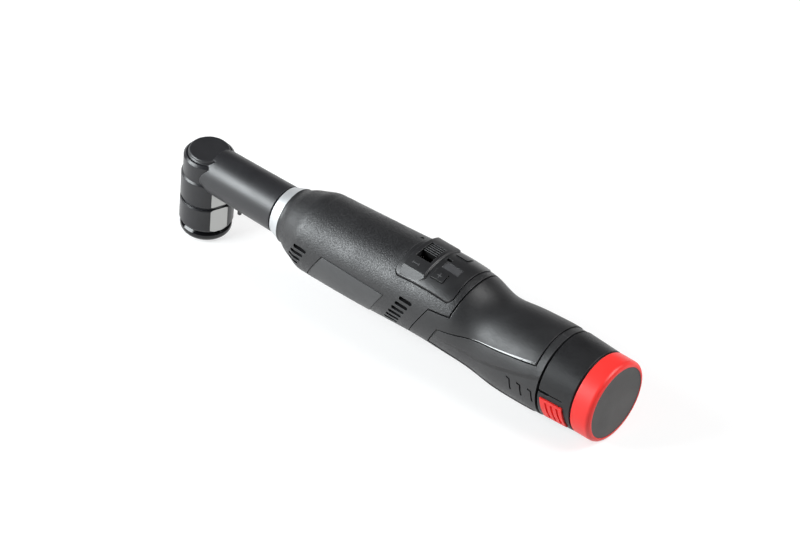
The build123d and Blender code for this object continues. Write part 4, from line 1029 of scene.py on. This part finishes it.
@dataclass
class GripLip:
    """Smooth lip along the rubber's lower edge, lying on the rubber of both flanks."""

    name: str = "grip_lip"
    carrier: str = "grip_cover"
    axis_z: float = 44.0 * MM
    bend_x: float = 224.5 * MM
    bend_h: float = 13.15 * MM
    start_x: float = 201.0 * MM
    end_x: float = 243.2 * MM
    front_slope: float = 0.1617
    rear_slope: float = 0.1549
    start_width: float = 0.15 * MM
    end_width: float = 1.1 * MM
    facing_deg: float = 41.0
    least_deg: float = 3.0
    sunk: float = 0.25 * MM
    edge: float = 0.04 * MM
    stations: int = 64
    ray_y: float = 0.1

    def _edge_h(self, x: float) -> float:
        """Return the height of the rubber's lower edge above the long axis."""
        slope = self.front_slope if x < self.bend_x else self.rear_slope
        return self.bend_h + slope * (x - self.bend_x)

    def _section(self, tree: BVHTree, x: float, side: int) -> list[Vector]:
        """Return the lip's four corners at one place along the tool.

        Args:
            tree: Search tree of the rubber's surface.
            x: Place along the tool.
            side: -1 for the left flank, 1 for the right flank.

        Returns:
            Corners from the upper edge round the outside.
        """
        share = (x - self.start_x) / (self.end_x - self.start_x)
        width = self.start_width + (self.end_width - self.start_width) * share
        low_h = self._edge_h(x)
        inward = Vector((0.0, -side, 0.0))
        spots = []
        for h in (low_h + width, low_h):
            start = Vector((x, side * self.ray_y, self.axis_z + h))
            spots.append(tree.ray_cast(start, inward)[:2])
        (upper, out_upper), (lower, out_lower) = spots
        climb = math.degrees(math.asin(max(-1.0, min(1.0, out_lower.z))))
        tilt = math.radians(max(self.least_deg, self.facing_deg - climb))
        rise = (upper - lower).length * math.tan(tilt)
        return [upper, lower + out_lower * rise, lower - out_lower * self.sunk, upper - out_upper * self.sunk]

    def build(self, workshop: Workshop) -> bpy.types.Object:
        """Create the lips.

        Args:
            workshop: Holds the rubber layer.

        Returns:
            The lips' object.
        """
        tree = workshop.search(self.carrier)
        made = bmesh.new()
        reach = self.end_x - self.start_x
        places = [self.start_x + reach * i / self.stations for i in range(self.stations + 1)]
        for side in (-1, 1):
            loft(made, [self._section(tree, x, side) for x in places])
        bmesh.ops.recalc_face_normals(made, faces=made.faces)
        return workshop.piece(self.name, made, RUBBER_LIP, "frame", "soft_rubber", self.edge)


@dataclass
class Handle(SubAssembly):
    """Two shells under a rubber layer."""

    coats: dict[str, Finish] = field(default_factory=lambda: {
        "handle_left": SHELL_BLACK, "handle_right": SHELL_BLACK, "grip_cover": SOFT_RUBBER,
        "handle_screws": BARE_STEEL, "terminal_block": PALE_PLASTIC, "battery_leads": WIRE_SLEEVE})
    lip: GripLip = field(default_factory=GripLip)

    def build(self, workshop: Workshop) -> None:
        """Create the rubber's lip.

        Args:
            workshop: Holds the nodes and finishes.
        """
        self.lip.build(workshop)


@dataclass
class BatteryPack(SubAssembly):
    """Round pull-off pack with its cells."""

    coats: dict[str, Finish] = field(default_factory=lambda: {
        "battery_case": CASE_BLACK, "battery_cap": RED_PLASTIC, "battery_plate": DARK_PLATE,
        "release_button_left": RED_PLASTIC, "release_button_right": RED_PLASTIC, "battery_cells": CELL_WRAP,
        "cell_straps": NICKEL, "pack_terminals": NICKEL})


@dataclass(frozen=True)
class PhotoCamera:
    """Camera at the photograph's place, metres and degrees."""

    place: Point = (1.35073, -1.63537, 1.77633)
    aim: Point = (0.13071, 0.00665, 0.044)
    roll_deg: float = -4.78
    lens_mm: float = 225.0
    sensor_mm: float = 36.0
    furthest: float = 50.0

    def build(self) -> bpy.types.Object:
        """Create the camera and make it the scene's own.

        Returns:
            The camera object.
        """
        data = bpy.data.cameras.new("photo_camera")
        data.lens = self.lens_mm
        data.sensor_width = self.sensor_mm
        data.sensor_fit = "HORIZONTAL"
        data.clip_end = self.furthest
        made = bpy.data.objects.new("photo_camera", data)
        bpy.context.scene.collection.objects.link(made)
        look = (Vector(self.aim) - Vector(self.place)).to_track_quat("-Z", "Y").to_matrix().to_4x4()
        roll = Matrix.Rotation(math.radians(-self.roll_deg), 4, "Z")
        made.matrix_world = Matrix.Translation(self.place) @ look @ roll
        bpy.context.scene.camera = made
        return made


@dataclass(frozen=True)
class Softbox:
    """One soft studio lamp, aimed at the middle of the tool."""

    name: str
    toward: Point
    distance: float
    width: float
    height: float
    watts: float
    tint: Colour = (1.0, 1.0, 1.0)
    middle: Point = (0.13, 0.0, 0.045)

    def build(self) -> bpy.types.Object:
        """Create the lamp.

        Returns:
            The lamp object.
        """
        data = bpy.data.lights.new(self.name, "AREA")
        data.shape = "RECTANGLE"
        data.size = self.width
        data.size_y = self.height
        data.energy = self.watts
        data.color = self.tint
        made = bpy.data.objects.new(self.name, data)
        bpy.context.scene.collection.objects.link(made)
        out = Vector(self.toward).normalized()
        look = (-out).to_track_quat("-Z", "Y").to_matrix().to_4x4()
        made.matrix_world = Matrix.Translation(Vector(self.middle) + out * self.distance) @ look
        return made


@dataclass
class Studio:
    """White floor and horizon under a dark ceiling, with soft light."""

    floor_half: float = 6.0
    floor_tone: float = 0.42
    floor_roughness: float = 0.9
    floor_specular: float = 0.1
    floor_lift: float = 0.65
    far_lift: float = 0.93
    near_reach: float = 0.45
    far_reach: float = 1.3
    backdrop: float = 1.0
    horizon: float = 0.8
    ceiling: float = 0.08
    horizon_z: float = 0.02
    ceiling_z: float = 0.25
    lip_node: str = "seal_ring"
    lip_height: float = 0.1 * MM
    rear_nodes: tuple[str, ...] = ("battery_cap", "battery_case", "handle_left", "release_button_left")
    lamps: tuple[Softbox, ...] = (
        Softbox(
            "key_softbox", (-0.62, -0.65, 0.44), 0.95, 0.62, 0.46, 14.5, (0.93, 0.98, 1.0),
            (0.05, 0.0, 0.045)),
        Softbox("fill_softbox", (0.50, 0.30, 0.81), 1.7, 1.1, 0.9, 24.5))

    def build(self, nodes: dict[str, bpy.types.Object]) -> None:
        """Create floor, world and lamps.

        Args:
            nodes: CAD node objects by name.
        """
        bpy.context.scene.view_settings.view_transform = "Standard"
        self._world()
        self._floor(nodes)
        for lamp in self.lamps:
            lamp.build()

    def _world(self) -> None:
        """White backdrop that fades to a dark ceiling. It lights the object a little less than it shows."""
        world = bpy.data.worlds.new("white_room")
        bpy.context.scene.world = world
        world.use_nodes = True
        graph = Graph(world.node_tree)
        sky = world.node_tree.nodes["Background"]
        sky.inputs["Color"].default_value = WHITE
        parts = graph.node("ShaderNodeSeparateXYZ")
        graph.feed(graph.node("ShaderNodeTexCoord").outputs["Generated"], parts.inputs[0])
        up = graph.remap(parts.outputs["Z"], self.horizon_z, self.ceiling_z, smooth=True)
        light = graph.blend(up, self.horizon, self.ceiling)
        shown = graph.blend(up, self.backdrop, self.ceiling)
        graph.feed(graph.blend(self._seen(graph), light, shown), sky.inputs["Strength"])

    @staticmethod
    def _seen(graph: Graph) -> Socket:
        """Pick the rays that show the background: straight, mirrored or through glass.

        Args:
            graph: Graph of the floor or the world.

        Returns:
            The mask socket.
        """
        rays = graph.node("ShaderNodeLightPath").outputs
        straight = graph.math("MAXIMUM", rays["Is Camera Ray"], rays["Is Glossy Ray"])
        return graph.math("MAXIMUM", straight, rays["Is Transmission Ray"])

    def _floor(self, nodes: dict[str, bpy.types.Object]) -> None:
        """Floor that carries the head's lip and the rear of the tool.

        Args:
            nodes: CAD node objects by name.
        """
        low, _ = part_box(self.lip_node)
        lip = [v.co for v in nodes[self.lip_node].data.vertices if v.co.z < low.z + self.lip_height]
        front = max(lip, key=lambda co: co.x)
        rear = [v.co for name in self.rear_nodes for v in nodes[name].data.vertices]
        slope = min((co.z - front.z) / (co.x - front.x) for co in rear)
        tilt = math.atan(slope)
        mesh = bpy.data.meshes.new("floor")
        half = self.floor_half
        corners = [(-half, -half, 0), (half, -half, 0), (half, half, 0), (-half, half, 0)]
        mesh.from_pydata(corners, [], [(0, 1, 2, 3)])
        floor = bpy.data.objects.new("floor", mesh)
        bpy.context.scene.collection.objects.link(floor)
        floor.matrix_world = Matrix.Translation((front.x, 0.0, front.z)) @ Matrix.Rotation(-tilt, 4, "Y")
        mesh.materials.append(self._floor_material())

    def _floor_material(self) -> bpy.types.Material:
        """White floor that keeps the shadow, and stays white further off, where the lamps reach it less.

        Returns:
            The material.
        """
        made = bpy.data.materials.new("white_floor")
        made.use_nodes = True
        graph = Graph(made.node_tree)
        shader = made.node_tree.nodes["Principled BSDF"]
        shader.inputs["Base Color"].default_value = (self.floor_tone, self.floor_tone, self.floor_tone, 1.0)
        shader.inputs["Roughness"].default_value = self.floor_roughness
        shader.inputs["Specular IOR Level"].default_value = self.floor_specular
        shader.inputs["Emission Color"].default_value = WHITE
        away = graph.node("ShaderNodeVectorMath", operation="LENGTH")
        graph.feed(graph.node("ShaderNodeTexCoord").outputs["Object"], away.inputs[0])
        far = graph.remap(away.outputs["Value"], self.near_reach, self.far_reach, smooth=True)
        lift = graph.blend(far, self.floor_lift, self.far_lift)
        graph.feed(graph.math("MULTIPLY", self._seen(graph), lift), shader.inputs["Emission Strength"])
        return made


def main() -> None:
    """Load the frame, dress it and set the studio."""
    logging.basicConfig(level=logging.INFO, format="%(message)s")
    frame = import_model()
    workshop = Workshop(frame["nodes"])
    for part in (GearHead(), Neck(), MotorBody(), SwitchBlock(), Handle(), BatteryPack()):
        part.dress(workshop)
        part.build(workshop)
    PhotoCamera().build()
    Studio().build(frame["nodes"])


if __name__ == "__main__":
    main()
